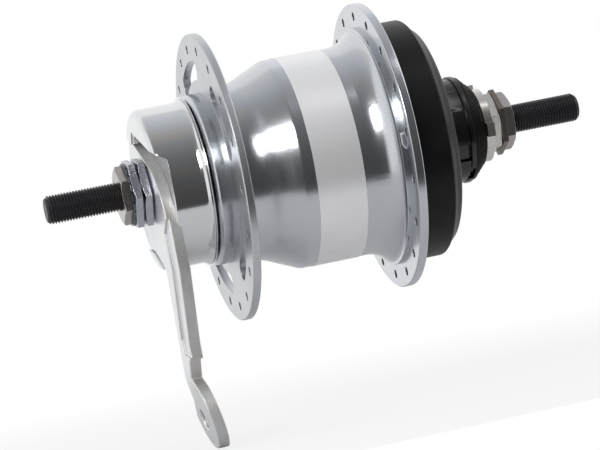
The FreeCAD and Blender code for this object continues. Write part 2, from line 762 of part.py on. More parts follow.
# Cover over the brake's end, notched where the arm leaves it
COVER_INSIDE = total("0", "cover_radius", "-cover_wall")
cover_cup = turned_body("cover_cup", [
    (total("0", "cone_boss_radius", "thread_clearance"), COVER_FACE),
    (total("0", "cover_radius", "-cover_rounding"), COVER_FACE, (size("cover_rounding"), 1)),
    (size("cover_radius"), total(COVER_FACE, "cover_rounding")),
    (size("cover_radius"), total(COVER_END, "-bead_width"), (size("bead_sweep"), -1)),
    (total("0", "cover_radius", "bead_height"), total(COVER_END, "-rim_rounding")),
    (total("0", "cover_radius", "bead_height", "-rim_rounding"), COVER_END),
    (COVER_INSIDE, COVER_END),
    (COVER_INSIDE, COVER_FLOOR),
    (total("0", "cone_boss_radius", "thread_clearance"), COVER_FLOOR),
])
# The cover's end is pressed in where the arm lies, out to its rim on the near side
OUTSIDE = total("0", "cover_radius", "bead_height")
recess_outline = new_sketch(cover_cup, "arm_recess_outline", "XZ_Plane", COVER_FACE)
CHORD_SLOPE = 0.4
CHORD_RISE = f"({CHORD_SLOPE} * ({OUTSIDE} - {CHORD_ACROSS} * {ARM_HEAD}))"
draw_outline(recess_outline, [
    (f"(-{OUTSIDE})", f"({CHORD_UP} * {ARM_HEAD} + {CHORD_RISE} + Sizes.arm_recess_gap)"),
    (ARM_EDGE[0][0], f"({ARM_EDGE[0][1]} + Sizes.arm_recess_gap)"),
    (ARM_EDGE[1][0], f"({ARM_EDGE[1][1]} + Sizes.arm_recess_gap)"),
    (OUTSIDE, f"({ARM_EDGE[1][1]} + Sizes.arm_recess_gap)"),
    (OUTSIDE, f"(-{OUTSIDE})"),
    (f"({ARM_FAR_EDGE[-2][0]} - Sizes.arm_recess_gap)", f"(-{OUTSIDE})"),
    (f"({ARM_FAR_EDGE[-2][0]} - Sizes.arm_recess_gap)", ARM_FAR_EDGE[-2][1]),
    (ARM_FAR_EDGE[-1][0], f"({ARM_FAR_EDGE[-1][1]} - Sizes.arm_recess_gap)"),
    (f"(-{FAR_ACROSS} * {ARM_HEAD})", f"(-{FAR_DOWN} * {ARM_HEAD} - Sizes.arm_recess_gap)"),
    (f"(-{OUTSIDE})", f"(-{FAR_DOWN} * {ARM_HEAD} - Sizes.arm_recess_gap)"),
])
blind_pocket(cover_cup, "arm_recess", recess_outline, size("cover_end_depth"))
keep(cut("brake_cover", cover_cup, brake_arm), "brake_cover")

# Left cone and the brake inside the shell
SHOE_END = total(BRAKE_BORE_END, "-side_gap")
SHOE_START = total(SHOE_END, "-shoe_length")
RACE_END = total(NECK_END, "race_length")
left_cone = turned_body("left_cone", [
    (GRIP_BORE, ARM_FACE),
    (size("cone_boss_radius"), ARM_FACE),
    (size("cone_boss_radius"), COVER_FLOOR),
    (size("cone_body_radius"), COVER_FLOOR),
    (size("cone_body_radius"), total(NECK_END, "-race_shoulder")),
    (total("0", "left_race_radius", "race_shoulder"), total(NECK_END, "-race_shoulder")),
    (total("0", "left_race_radius", "race_shoulder"), total(NECK_END)),
    (size("left_race_radius"), total(NECK_END)),
    (size("left_race_radius"), RACE_END),
    (SHANK_BORE, RACE_END),
    (SHANK_BORE, COVER_FLOOR),
    (GRIP_BORE, COVER_FLOOR),
])
keep(left_cone, "left_cone")

SHOE_OUTER = total("0", "brake_bore_radius", "-shoe_clearance")
SHOE_INNER = total(SHOE_OUTER, "-shoe_thickness")
brake_cam = turned_body("brake_cam", [
    (SHANK_BORE, RACE_END),
    (size("cone_body_radius"), RACE_END),
    (size("cone_body_radius"), SHOE_START),
    (total(SHOE_INNER, "-cam_gap"), SHOE_START),
    (total(SHOE_INNER, "-cam_gap"), SHOE_END),
    (SHANK_BORE, SHOE_END),
])
keep(brake_cam, "brake_cam")

for number in range(PLANETS):
    shoe = doc.addObject("PartDesign::Body", f"brake_shoe_{number + 1}")
    middle = 120 * number
    first, last = f"({middle} - Sizes.shoe_sweep / 2)", f"({middle} + Sizes.shoe_sweep / 2)"
    shoe_sketch = new_sketch(shoe, f"shoe_{number + 1}_outline", "XZ_Plane", SHOE_START)
    draw_outline(shoe_sketch, [
        (*polar(SHOE_OUTER, first), (SHOE_OUTER, -1)),
        polar(SHOE_OUTER, last),
        (*polar(SHOE_INNER, last), (SHOE_INNER, 1)),
        polar(SHOE_INNER, first),
    ])
    shoe_pad = shoe.newObject("PartDesign::Pad", f"shoe_{number + 1}_pad")
    shoe_pad.Profile = shoe_sketch
    shoe_pad.setExpression("Length", size("shoe_length"))
    shoe_pad.Reversed = True
    keep(shoe, f"brake_shoe_{number + 1}")


def ball_set(name, race, ball, count, station):
    """Bearing balls as faceted solids, evenly round a race."""
    circle = f"({race} + Sizes.ball_clearance + {ball})"
    balls = []
    for number in range(count):
        turn = 360 * number / count
        across, up = polar(circle, turn)
        facing = FreeCAD.Rotation(FreeCAD.Vector(0, 1, 0), turn)
        pair = []
        for way, swing in (
            ("upright", FreeCAD.Rotation()),
            ("along", FreeCAD.Rotation(FreeCAD.Vector(1, 0, 0), -90)),
        ):
            bar = doc.addObject("Part::Prism", f"{name}_{number}_{way}")
            bar.Polygon = BALL_SIDES
            bar.setExpression("Circumradius", ball)
            bar.setExpression("Height", f"2 * {ball} * {BALL_FLAT:.6f}")
            turned = facing * swing
            bar.Placement = FreeCAD.Placement(FreeCAD.Vector(), turned)
            axis = turned.multVec(FreeCAD.Vector(0, 0, 1))
            half = f"{ball} * {BALL_FLAT:.6f}"
            bar.setExpression("Placement.Base.x", f"{across} - {half} * ({axis.x:.9f})")
            bar.setExpression("Placement.Base.y", f"{station} - {half} * ({axis.y:.9f})")
            bar.setExpression("Placement.Base.z", f"{up} - {half} * ({axis.z:.9f})")
            pair.append(bar)
        balls.append(common(f"{name}_{number}", pair))
    return keep(group(name, balls), name)


def ball_cage(name, race, ball, count, station, thickness):
    """A ring beside the balls, with a rectangular pocket for each of them."""
    inner = f"({race} + Sizes.cage_gap)"
    outer = f"({race} + 2 * {ball} + 2 * Sizes.ball_clearance - Sizes.cage_gap)"
    end = f"({station} + {ball} * 0.5)"
    start = f"({station} - {ball} - Sizes.ball_clearance - {thickness})"
    body = turned_body(name, ring_corners(inner, outer, start, end))
    sketch = new_sketch(body, f"{name}_pocket_outline", "XZ_Plane", f"({start} + {thickness})")
    rectangle_at(sketch, f"{inner} * 0.9", f"{outer} * 1.1", f"({ball} + Sizes.ball_clearance)", "0")
    pocket = blind_pocket(body, f"{name}_pocket", sketch, f"(2 * {ball} + Sizes.ball_clearance)")
    repeat_round(body, f"{name}_pockets", pocket, str(count))
    return keep(body, name)


LEFT_BALLS = total(NECK_END, "cage_side_gap", "cage_lip", "ball_clearance", "left_ball_radius")
ball_set("left_balls", size("left_race_radius"), size("left_ball_radius"), LEFT_BALL_COUNT, LEFT_BALLS)
left_ball_race = turned_body("left_ball_race", ring_corners(
    "(Sizes.left_race_radius + 2 * Sizes.left_ball_radius + 2 * Sizes.ball_clearance)",
    size("brake_bore_radius"),
    NECK_END,
    total(LEFT_FLANGE, "side_gap"),
))
keep(left_ball_race, "left_ball_race")

# Hub shell with its flanges
BARREL_START = total(LEFT_FLANGE, "barrel_start")
BARREL_END = total(BARREL_START, "barrel_length")
SHOULDER_START = total(BARREL_START, "-slope_length", "-barrel_edge")
FLARE_END = total(BARREL_END, "flare_length")
hub_shell = turned_body("hub_shell_turned", [
    (size("brake_bore_radius"), NECK_END),
    (total(NECK_RADIUS, "-neck_chamfer"), NECK_END),
    (NECK_RADIUS, total(NECK_END, "neck_chamfer")),
    (NECK_RADIUS, WAIST),
    (WAIST_RADIUS, WAIST),
    (WAIST_RADIUS, total(SHOULDER_START, "-waist_arc_length"), (size("waist_arc_radius"), -1)),
    (total(BARREL, "-slope_height"), SHOULDER_START),
    (total(BARREL, "-barrel_edge_height"), total(BARREL_START, "-barrel_edge")),
    (BARREL, BARREL_START),
    (BARREL, BARREL_END, (size("flare_radius"), -1)),
    (total(BARREL, "flare_height"), FLARE_END),
    (FLANGE_ROOT, FLARE_END),
    (FLANGE_ROOT, RIGHT_FLANGE),
    (total(FLANGE_RADIUS, "-shell_edge"), RIGHT_FLANGE),
    (FLANGE_RADIUS, total(RIGHT_FLANGE, "shell_edge")),
    (FLANGE_RADIUS, total(RIGHT_FLANGE_BACK, "-shell_edge")),
    (total(FLANGE_RADIUS, "-shell_edge"), RIGHT_FLANGE_BACK),
    (CAP_SEAT, RIGHT_FLANGE_BACK),
    (CAP_SEAT, CAP_SEAT_END),
    (GEAR_BORE, CAP_SEAT_END),
    (GEAR_BORE, ZONE_TWO),
    (THROAT, ZONE_TWO),
    (THROAT, BRAKE_BORE_END),
    (size("brake_bore_radius"), BRAKE_BORE_END),
])


def spoke_holes(body, name, circle, turn):
    """Drills the spoke holes of a flange; the body's only full-length cuts are these."""
    sketch = new_sketch(body, f"{name}_hole_outline", "XZ_Plane", RIGHT_FLANGE)
    across, up = polar(circle, f"Sizes.{turn}")
    draw_circle(sketch, across, up, size("spoke_hole_radius"))
    hole = pocket_through(body, f"{name}_hole", sketch)
    return repeat_round(body, f"{name}_holes", hole, size("spoke_count"))


spoke_holes(hub_shell, "right_flange", total(FLANGE_RADIUS, "-right_spoke_edge"), "right_spoke_turn")
keep(hub_shell, "hub_shell")

left_flange = turned_body("left_flange", [
    (NECK_RADIUS, LEFT_FLANGE),
    (total(FLANGE_RADIUS, "-shell_edge"), LEFT_FLANGE),
    (FLANGE_RADIUS, total(LEFT_FLANGE, "shell_edge")),
    (FLANGE_RADIUS, total(WAIST, "-shell_edge")),
    (total(FLANGE_RADIUS, "-shell_edge"), WAIST),
    (NECK_RADIUS, WAIST),
])
spoke_holes(left_flange, "left_flange", total(FLANGE_RADIUS, "-left_spoke_edge"), "left_spoke_turn")
window_sketch = new_sketch(left_flange, "window_outline", "XZ_Plane", LEFT_FLANGE)
WINDOW_FIRST = "(Sizes.window_turn - Sizes.window_sweep / 2)"
WINDOW_LAST = "(Sizes.window_turn + Sizes.window_sweep / 2)"
WINDOW_END = f"(Sizes.window_height / 2 * {WINDOW_ROUNDNESS})"
draw_outline(window_sketch, [
    (*polar(WINDOW_OUTER, WINDOW_FIRST), (WINDOW_OUTER, -1)),
    (*polar(WINDOW_OUTER, WINDOW_LAST), (WINDOW_END, -1)),
    (*polar(WINDOW_INNER, WINDOW_LAST), (WINDOW_INNER, 1)),
    (*polar(WINDOW_INNER, WINDOW_FIRST), (WINDOW_END, -1)),
])
window = pocket_through(left_flange, "window", window_sketch)
repeat_round(left_flange, "windows", window, size("window_count"))
keep(left_flange, "left_flange")

LABEL_START = total(BARREL_START, "label_start")
keep(turned_body("label_band", ring_corners(
    BARREL,
    total(BARREL, "label_thickness"),
    LABEL_START,
    total(LABEL_START, "label_width"),
)), "label_band")

# Drive side bearing and dust cap
DRIVER_RACE = size("right_race_radius")
RIGHT_CUP_RADIUS = "(Sizes.right_race_radius + 2 * Sizes.right_ball_radius + 2 * Sizes.ball_clearance)"
CUP_WEB = total(CAP_SEAT_END, "-cup_web")
RIGHT_BALLS = f"({CUP_WEB} - Sizes.right_ball_radius - Sizes.ball_clearance)"
CUP_START = f"({RIGHT_BALLS} - Sizes.right_ball_radius)"
keep(turned_body("right_ball_cup", [
    (RIGHT_CUP_RADIUS, CUP_START),
    (GEAR_BORE, CUP_START),
    (GEAR_BORE, CAP_SEAT_END),
    (total("0", "right_race_radius", "dust_ring_gap"), CAP_SEAT_END),
    (total("0", "right_race_radius", "dust_ring_gap"), CUP_WEB),
    (RIGHT_CUP_RADIUS, CUP_WEB),
]), "right_ball_cup")
ball_set("right_balls", size("right_race_radius"), size("right_ball_radius"), RIGHT_BALL_COUNT, RIGHT_BALLS)
ball_cage(
    "right_ball_cage", size("right_race_radius"), size("right_ball_radius"),
    RIGHT_BALL_COUNT, RIGHT_BALLS, size("cage_web"),
)
ball_cage(
    "left_ball_cage", size("left_race_radius"), size("left_ball_radius"),
    LEFT_BALL_COUNT, LEFT_BALLS, size("cage_lip"),
)

CAP_RIM_END = total(RIGHT_FLANGE_BACK, "cap_rim_length")
CAP_FACE_INSIDE = total(CAP_END, "-cap_wall")
keep(turned_body("right_dust_cap", [
    (CAP_SEAT, RIGHT_FLANGE_BACK),
    (CAP_RADIUS, RIGHT_FLANGE_BACK),
    (CAP_RADIUS, CAP_RIM_END),
    (total(CAP_RADIUS, "-cap_step"), total(CAP_RIM_END, "cap_step")),
    (total(CAP_RADIUS, "-cap_shoulder"), total(CAP_RIM_END, "cap_step")),
    (CAP_SEAT, total(CAP_END, "-cap_slope"), (size("cap_arc_radius"), 1)),
    (total(CAP_SEAT, "-cap_end_inset"), CAP_END),
    (size("cap_opening"), CAP_END),
    (size("cap_opening"), CAP_FACE_INSIDE),
    (total(CAP_SEAT, "-cap_wall"), CAP_FACE_INSIDE),
    (CAP_SEAT, total(CAP_FACE_INSIDE, "-cap_wall")),
]), "right_dust_cap")

# Driver with its ring gear
SEAT_START = total(CAP_END, "seat_gap")
SNAP_GROOVE = total(DRIVER_END, "-snap_ring_section", "-thread_clearance")
GROOVE_RADIUS = total("0", "driver_seat_radius", "-snap_groove_depth")
SPIGOT_RADIUS = total("0", "driver_bore_radius", "spigot_wall")
SPIGOT_END = total(DRIVER_END, "spigot_length")
DUST_RING_START = total(CAP_END, "-dust_ring_thickness")
RING_RADIUS = total(GEAR_BORE, "-ring_outer_gap")
RING_INSIDE = total(RING_RADIUS, "-ring_rim")
driver = turned_body("driver_turned", [
    (size("driver_bore_radius"), RING_WEB),
    (RING_INSIDE, RING_WEB),
    (RING_INSIDE, DRIVER_TUBE),
    (DRIVER_RACE, DRIVER_TUBE),
    (DRIVER_RACE, CAP_SEAT_END),
    (total("0", "driver_seat_radius", "driver_step"), CAP_SEAT_END),
    (total("0", "driver_seat_radius", "driver_step"), SEAT_START),
    (size("driver_seat_radius"), SEAT_START),
    (size("driver_seat_radius"), SNAP_GROOVE),
    (GROOVE_RADIUS, SNAP_GROOVE),
    (GROOVE_RADIUS, DRIVER_END),
    (SPIGOT_RADIUS, DRIVER_END),
    (SPIGOT_RADIUS, SPIGOT_END),
    (size("driver_bore_radius"), SPIGOT_END),
])
seat_sketch = new_sketch(driver, "seat_notch_outline", "XZ_Plane", SEAT_START)
rectangle_at(
    seat_sketch, total("0", "driver_seat_radius", "-driver_notch_depth"),
    total("0", "driver_seat_radius", "driver_step"), "(Sizes.driver_notch_width / 2)", "0",
)
seat_notch = blind_pocket(driver, "seat_notch", seat_sketch, total("0", "driver_length"))
repeat_round(driver, "seat_notches", seat_notch, str(PLANETS))
keep(driver, "driver")

keep(turned_body("driver_dust_ring", ring_corners(
    total("0", "driver_seat_radius", "driver_step"), total("0", "cap_opening", "-dust_ring_gap"),
    DUST_RING_START, CAP_END,
)), "driver_dust_ring")

snap_ring = turned_body("sprocket_snap_ring_turned", ring_corners(
    GROOVE_RADIUS, total(GROOVE_RADIUS, "snap_ring_section"), SNAP_GROOVE, total(SNAP_GROOVE, "snap_ring_section"),
))
snap_sketch = new_sketch(snap_ring, "snap_ring_gap_outline", "XZ_Plane", SNAP_GROOVE)
rectangle_at(
    snap_sketch, f"{GROOVE_RADIUS} * 0.8", f"({GROOVE_RADIUS} + 2 * Sizes.snap_ring_section)",
    size("snap_ring_gap_half"), size("snap_ring_gap_turn"),
)
pocket_through(snap_ring, "snap_ring_gap", snap_sketch)
keep(snap_ring, "sprocket_snap_ring")

CAP_RIB = "(Sizes.ribbed_cap_length / 4)"
RIB_DROP = "((Sizes.driver_seat_radius - Sizes.ribbed_cap_end_radius) / 3)"


def rib(step):
    """The radius and the station of one step of the ribbed cap."""
    return f"(Sizes.driver_seat_radius - {step} * {RIB_DROP})", f"({DRIVER_END} + {step + 1} * {CAP_RIB})"


rib_corners = [(SPIGOT_RADIUS, DRIVER_END), (size("driver_seat_radius"), DRIVER_END)]
for step in range(3):
    rib_corners.append(rib(step))
    rib_corners.append((rib(step + 1)[0], rib(step)[1]))
rib_corners += [
    (rib(3)[0], RIBBED_CAP_END),
    (total("0", "driver_bore_radius", "cap_lip_gap"), RIBBED_CAP_END),
    (total("0", "driver_bore_radius", "cap_lip_gap"), SPIGOT_END),
    (SPIGOT_RADIUS, SPIGOT_END),
]
keep(turned_body("driver_cap", rib_corners), "driver_cap")

ring_a = doc.addObject("PartDesign::Body", "ring_gear_a_toothed")
RING_TIP = gear_module(RING_TEETH / 2 - ADDENDUM)
ring_pad(ring_a, "ring_gear_a", ZONE_INPUT, total("0", "input_gear_width", "side_gap"), RING_RADIUS, RING_TIP)
cut_teeth(
    ring_a, "ring_gear_a", RING_TEETH, ZONE_INPUT, total("0", "input_gear_width", "side_gap"),
    INPUT_TURN, inside=True,
)
ring_wall = turned_body("ring_wall", ring_corners(RING_INSIDE, RING_RADIUS, CARRIER_RIGHT, DRIVER_TUBE))
ring_join = doc.addObject("Part::Fuse", "ring_gear_a_joined")
ring_join.Base = ring_a
ring_join.Tool = ring_wall
keep(ring_join, "ring_gear_a")

ring_b = doc.addObject("PartDesign::Body", "ring_gear_b")
ring_pad(ring_b, "ring_gear_b", ZONE_TWO, size("cluster_gear_width"), GEAR_BORE, RING_TIP)
cut_teeth(
    ring_b, "ring_gear_b", RING_TEETH, ZONE_TWO, size("cluster_gear_width"), 180 / RING_TEETH, inside=True
)
keep(ring_b, "ring_gear_b")

# Sun gears on the axle: two of the four are locked to it
sun_gear("sun_gear_one", SUN_TEETH["one"], ZONE_ONE, size("cluster_gear_width"), RUNNING_BORE)
sun_gear("sun_gear_two", SUN_TEETH["two"], ZONE_TWO, size("cluster_gear_width"), RUNNING_BORE)
sun_gear(
    "sun_gear_three", SUN_TEETH["three"], ZONE_THREE, size("cluster_gear_width"), size("axle_shank_radius")
)
sun_gear(
    "sun_gear_a", INPUT_SUN_TEETH, ZONE_INPUT, size("input_gear_width"), size("axle_shank_radius"), INPUT_TURN
)

# Planets
CLUSTER_CIRCLE = gear_module((SUN_TEETH["one"] + CLUSTER_TEETH["one"]) / 2)
INPUT_CIRCLE = gear_module((INPUT_SUN_TEETH + INPUT_PLANET_TEETH) / 2)
PLANET_BORE = total("0", "planet_pin_radius", "pin_clearance")
CLUSTER_ZONES = {"three": ZONE_THREE, "two": ZONE_TWO, "one": ZONE_ONE}
for number in range(PLANETS):
    name = f"planet_cluster_{number + 1}"
    cluster = doc.addObject("PartDesign::Body", name)
    for zone, start in CLUSTER_ZONES.items():
        teeth = CLUSTER_TEETH[zone]
        length = total("0", "cluster_gear_width")
        ring_pad(cluster, f"{name}_{zone}", start, length, gear_module(teeth / 2 + ADDENDUM), PLANET_BORE)
        cut_teeth(cluster, f"{name}_{zone}", teeth, start, length, 180)
        if zone != "one":
            hub_start = f"({start} + Sizes.cluster_gear_width)"
            hub_radius = gear_module(CLUSTER_TEETH["three"] / 2 - DEDENDUM)
            ring_pad(cluster, f"{name}_{zone}_hub", hub_start, size("side_gap"), hub_radius, PLANET_BORE)
            cluster.Tip = cluster.Group[-1]
    place_planet(cluster, CLUSTER_CIRCLE, 120 * number)
    keep(cluster, name)

for number in range(PLANETS):
    name = f"planet_gear_a_{number + 1}"
    planet = doc.addObject("PartDesign::Body", name)
    tip = gear_module(INPUT_PLANET_TEETH / 2 + ADDENDUM)
    ring_pad(planet, name, ZONE_INPUT, size("input_gear_width"), tip, PLANET_BORE)
    cut_teeth(planet, name, INPUT_PLANET_TEETH, ZONE_INPUT, size("input_gear_width"), 180)
    place_planet(planet, INPUT_CIRCLE, 120 * number + INPUT_TURN)
    keep(planet, name)

# Planet carrier: three plates, with posts between them
CARRIER_END = total(CARRIER_RIGHT, "carrier_plate")
plates = []
for plate, start, thickness in (
    ("left", CARRIER_LEFT, size("carrier_plate")),
    ("middle", CARRIER_MIDDLE, size("carrier_middle_plate")),
    ("right", CARRIER_RIGHT, size("carrier_plate")),
):
    disc = rod(f"carrier_{plate}_plate", size("carrier_radius"), start, thickness)
    plates.append(disc)
carrier_pins = []
for number in range(PLANETS):
    cluster_turn, input_turn = 120 * number, 120 * number + INPUT_TURN
    for stage, turn, start, end, post_turn, post_start, post_end in (
        ("cluster", cluster_turn, CARRIER_LEFT, CARRIER_MIDDLE, input_turn, CARRIER_LEFT, CARRIER_MIDDLE),
        ("input", input_turn, CARRIER_MIDDLE, CARRIER_END, cluster_turn, CARRIER_MIDDLE, CARRIER_END),
    ):
        post_across, post_up = polar(size("carrier_post_circle"), post_turn)
        plates.append(rod(
            f"carrier_{stage}_post_{number}", size("carrier_post_radius"), post_start,
            f"({post_end} - {post_start})", post_across, post_up,
        ))
        circle = CLUSTER_CIRCLE if stage == "cluster" else INPUT_CIRCLE
        across, up = polar(circle, turn)
        pin_end = total(CARRIER_MIDDLE, "carrier_middle_plate") if stage == "cluster" else end
        carrier_pins.append(rod(
            f"planet_pin_{stage}_{number}", size("planet_pin_radius"), start,
            f"({pin_end} - {start})", across, up,
        ))
pins = keep(group("planet_pins", carrier_pins), "planet_pins")
carrier_solid = fuse("carrier_solid", plates)
carrier_bore = rod("carrier_bore", RUNNING_BORE, CARRIER_LEFT, f"({CARRIER_END} - {CARRIER_LEFT})")
carrier_bored = cut("carrier_bored", carrier_solid, carrier_bore)
keep(cut("planet_carrier", carrier_bored, pins), "planet_carrier")

# Right cone, shift sleeve and the nuts on the drive side
RIGHT_CONE_START = total(DRIVER_TUBE, "cone_setback")
RIGHT_CONE_END = total(SLEEVE_FLANGE, "-sleeve_inside_length", "-side_gap")
keep(turned_body("right_cone", ring_corners(
    SHANK_BORE, total("0", "driver_bore_radius", "-inner_cone_gap"), RIGHT_CONE_START, RIGHT_CONE_END
)), "right_cone")

SLEEVE_END = total(SLEEVE_FLANGE, "sleeve_flange_thickness")
sleeve = turned_body("shift_sleeve", [
    (total("0", "axle_shank_radius", "sleeve_clearance"), total(SLEEVE_FLANGE, "-sleeve_inside_length")),
    (size("sleeve_radius"), total(SLEEVE_FLANGE, "-sleeve_inside_length")),
    (size("sleeve_radius"), SLEEVE_FLANGE),
    (size("sleeve_flange_radius"), SLEEVE_FLANGE),
    (size("sleeve_flange_radius"), SLEEVE_END),
    (total("0", "axle_shank_radius", "sleeve_clearance"), SLEEVE_END),
])
lug_sketch = new_sketch(sleeve, "sleeve_lug_outline", "XZ_Plane", SLEEVE_FLANGE)
rectangle_at(
    lug_sketch, size("sleeve_radius"), total("0", "sleeve_flange_radius", "sleeve_lug_reach"),
    "(Sizes.sleeve_lug_width / 2)", size("sleeve_lug_turn"),
)
lug = sleeve.newObject("PartDesign::Pad", "sleeve_lug")
lug.Profile = lug_sketch
lug.setExpression("Length", size("sleeve_flange_thickness"))
lug.Reversed = True
repeat_round(sleeve, "sleeve_lugs", lug, str(PLANETS))
keep(sleeve, "shift_sleeve")

right_stop_nut = hex_nut("right_stop_nut", CONE_NUT, size("cone_nut_thickness"), size("cone_nut_across"), 20)
chamfer_corners(right_stop_nut, "right_stop_nut", TURN_WASHER, -1, size("cone_nut_across"))
keep(right_stop_nut, "right_stop_nut")
keep(hex_nut(
    "right_non_turn_washer", TURN_WASHER, size("turn_washer_thickness"), size("turn_washer_across"), 10
), "right_non_turn_washer")
right_locknut = hex_nut(
    "right_locknut", RIGHT_LOCKNUT, size("right_locknut_thickness"), size("locknut_across"), 5
)
chamfer_corners(right_locknut, "right_locknut", RIGHT_LOCK_FACE, -1, size("locknut_across"))
keep(right_locknut, "right_locknut")

doc.recompute()
for item in doc.Objects:
    if "Invalid" in item.State or "Error" in item.State:
        raise RuntimeError(f"{item.Name} did not recompute: {item.State}")
for item in parts:
    if item.Shape.isNull() or not item.Shape.isValid():
        raise RuntimeError(f"{item.Label} has no valid shape")
    item.Shape.exportStep(os.path.join("parts", f"{item.Label}.step"))
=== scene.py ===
"""Looks for the internal gear hub: camera, studio, finishes and the fine pieces around the CAD nodes.

Every piece is in metres, in the same frame as the CAD: the axle lies along Y, with the drive side at +Y,
and the brake arm hangs towards -Z.
"""

import json
import logging
import math
from dataclasses import dataclass, field
from enum import Enum
from typing import Dict, List, Optional, Sequence, Tuple, Union

import bmesh
import bpy
from mathutils import Matrix, Vector


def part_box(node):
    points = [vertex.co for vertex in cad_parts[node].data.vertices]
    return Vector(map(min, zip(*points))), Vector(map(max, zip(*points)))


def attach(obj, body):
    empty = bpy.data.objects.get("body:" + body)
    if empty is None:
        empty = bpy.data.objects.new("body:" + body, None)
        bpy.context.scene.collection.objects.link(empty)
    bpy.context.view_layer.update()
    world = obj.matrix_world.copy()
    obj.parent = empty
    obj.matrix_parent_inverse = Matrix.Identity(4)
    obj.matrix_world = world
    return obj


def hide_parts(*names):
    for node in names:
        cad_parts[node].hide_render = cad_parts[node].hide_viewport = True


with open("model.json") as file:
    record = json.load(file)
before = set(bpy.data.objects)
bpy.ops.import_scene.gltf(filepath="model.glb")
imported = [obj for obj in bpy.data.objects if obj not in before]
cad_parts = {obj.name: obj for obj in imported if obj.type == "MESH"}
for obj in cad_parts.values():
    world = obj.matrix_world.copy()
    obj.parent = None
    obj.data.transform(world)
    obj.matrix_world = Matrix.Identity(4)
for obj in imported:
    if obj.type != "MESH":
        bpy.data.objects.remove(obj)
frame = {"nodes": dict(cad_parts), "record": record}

log = logging.getLogger("gear_hub")

MM = 0.001
CENTRE = (0, 0, 0)
AXLE = (0, 1, 0)
WHITE = (1.0, 1.0, 1.0, 1.0)
FULL_TURN = 2 * math.pi
MERGE_DISTANCE = 1e-6
FLAT_ANGLE = 0.002
CUT_FACE_LIMIT = 0.3
SHOULDER_TOLERANCE = 0.01

Point = Tuple[float, float]
Point3 = Tuple[float, float, float]
Colour = Tuple[float, float, float]
Number = Union[float, "Value"]


class Lines(Enum):
    """How the fine lines of a finish run."""

    TURNED = "round the axle"
    NONE = "no direction"


class Value:
    """A number socket in a material, with the operators of plain numbers."""

    def __init__(self, tree: "Tree", socket: bpy.types.NodeSocket) -> None:
        """Wraps a socket of a tree."""
        self.tree = tree
        self.socket = socket

    def _join(self, operation: str, first: Number, second: Number) -> "Value":
        """Adds a Math node for two numbers or sockets.

        Args:
            operation: the Math node's operation.
            first: its first input.
            second: its second input.

        Returns:
            The node's output.
        """
        return self.tree.node(
            "ShaderNodeMath", {"operation": operation}, {0: first, 1: second}
        ).out()

    def __add__(self, other: Number) -> "Value":
        """Returns the sum."""
        return self._join("ADD", self, other)

    def __sub__(self, other: Number) -> "Value":
        """Returns the difference."""
        return self._join("SUBTRACT", self, other)

    def __mul__(self, other: Number) -> "Value":
        """Returns the product."""
        return self._join("MULTIPLY", self, other)

    def power(self, exponent: Number) -> "Value":
        """Returns this socket raised to an exponent."""
        return self._join("POWER", self, exponent)

    def larger(self, other: Number) -> "Value":
        """Returns the larger of the two."""
        return self._join("MAXIMUM", self, other)

    def root(self) -> "Value":
        """Returns the square root."""
        return self.tree.node("ShaderNodeMath", {"operation": "SQRT"}, {0: self}).out()

    def within(self, low: float, high: float) -> "Value":
        """Returns 0 below low, 1 above high and a smooth rise between.

        Args:
            low: where the rise starts.
            high: where it ends.

        Returns:
            The rise.
        """
        settings = {"interpolation_type": "SMOOTHSTEP"}
        inputs = {"Value": self, 1: low, 2: high}
        return self.tree.node("ShaderNodeMapRange", settings, inputs).out()


class NodeHandle:
    """A node of a tree, whose outputs are read by name."""

    def __init__(self, tree: "Tree", node: bpy.types.Node) -> None:
        """Wraps a node of a tree."""
        self.tree = tree
        self.raw = node

    def out(self, name: Union[int, str] = 0) -> Value:
        """Returns one of the node's outputs."""
        return Value(self.tree, self.raw.outputs[name])


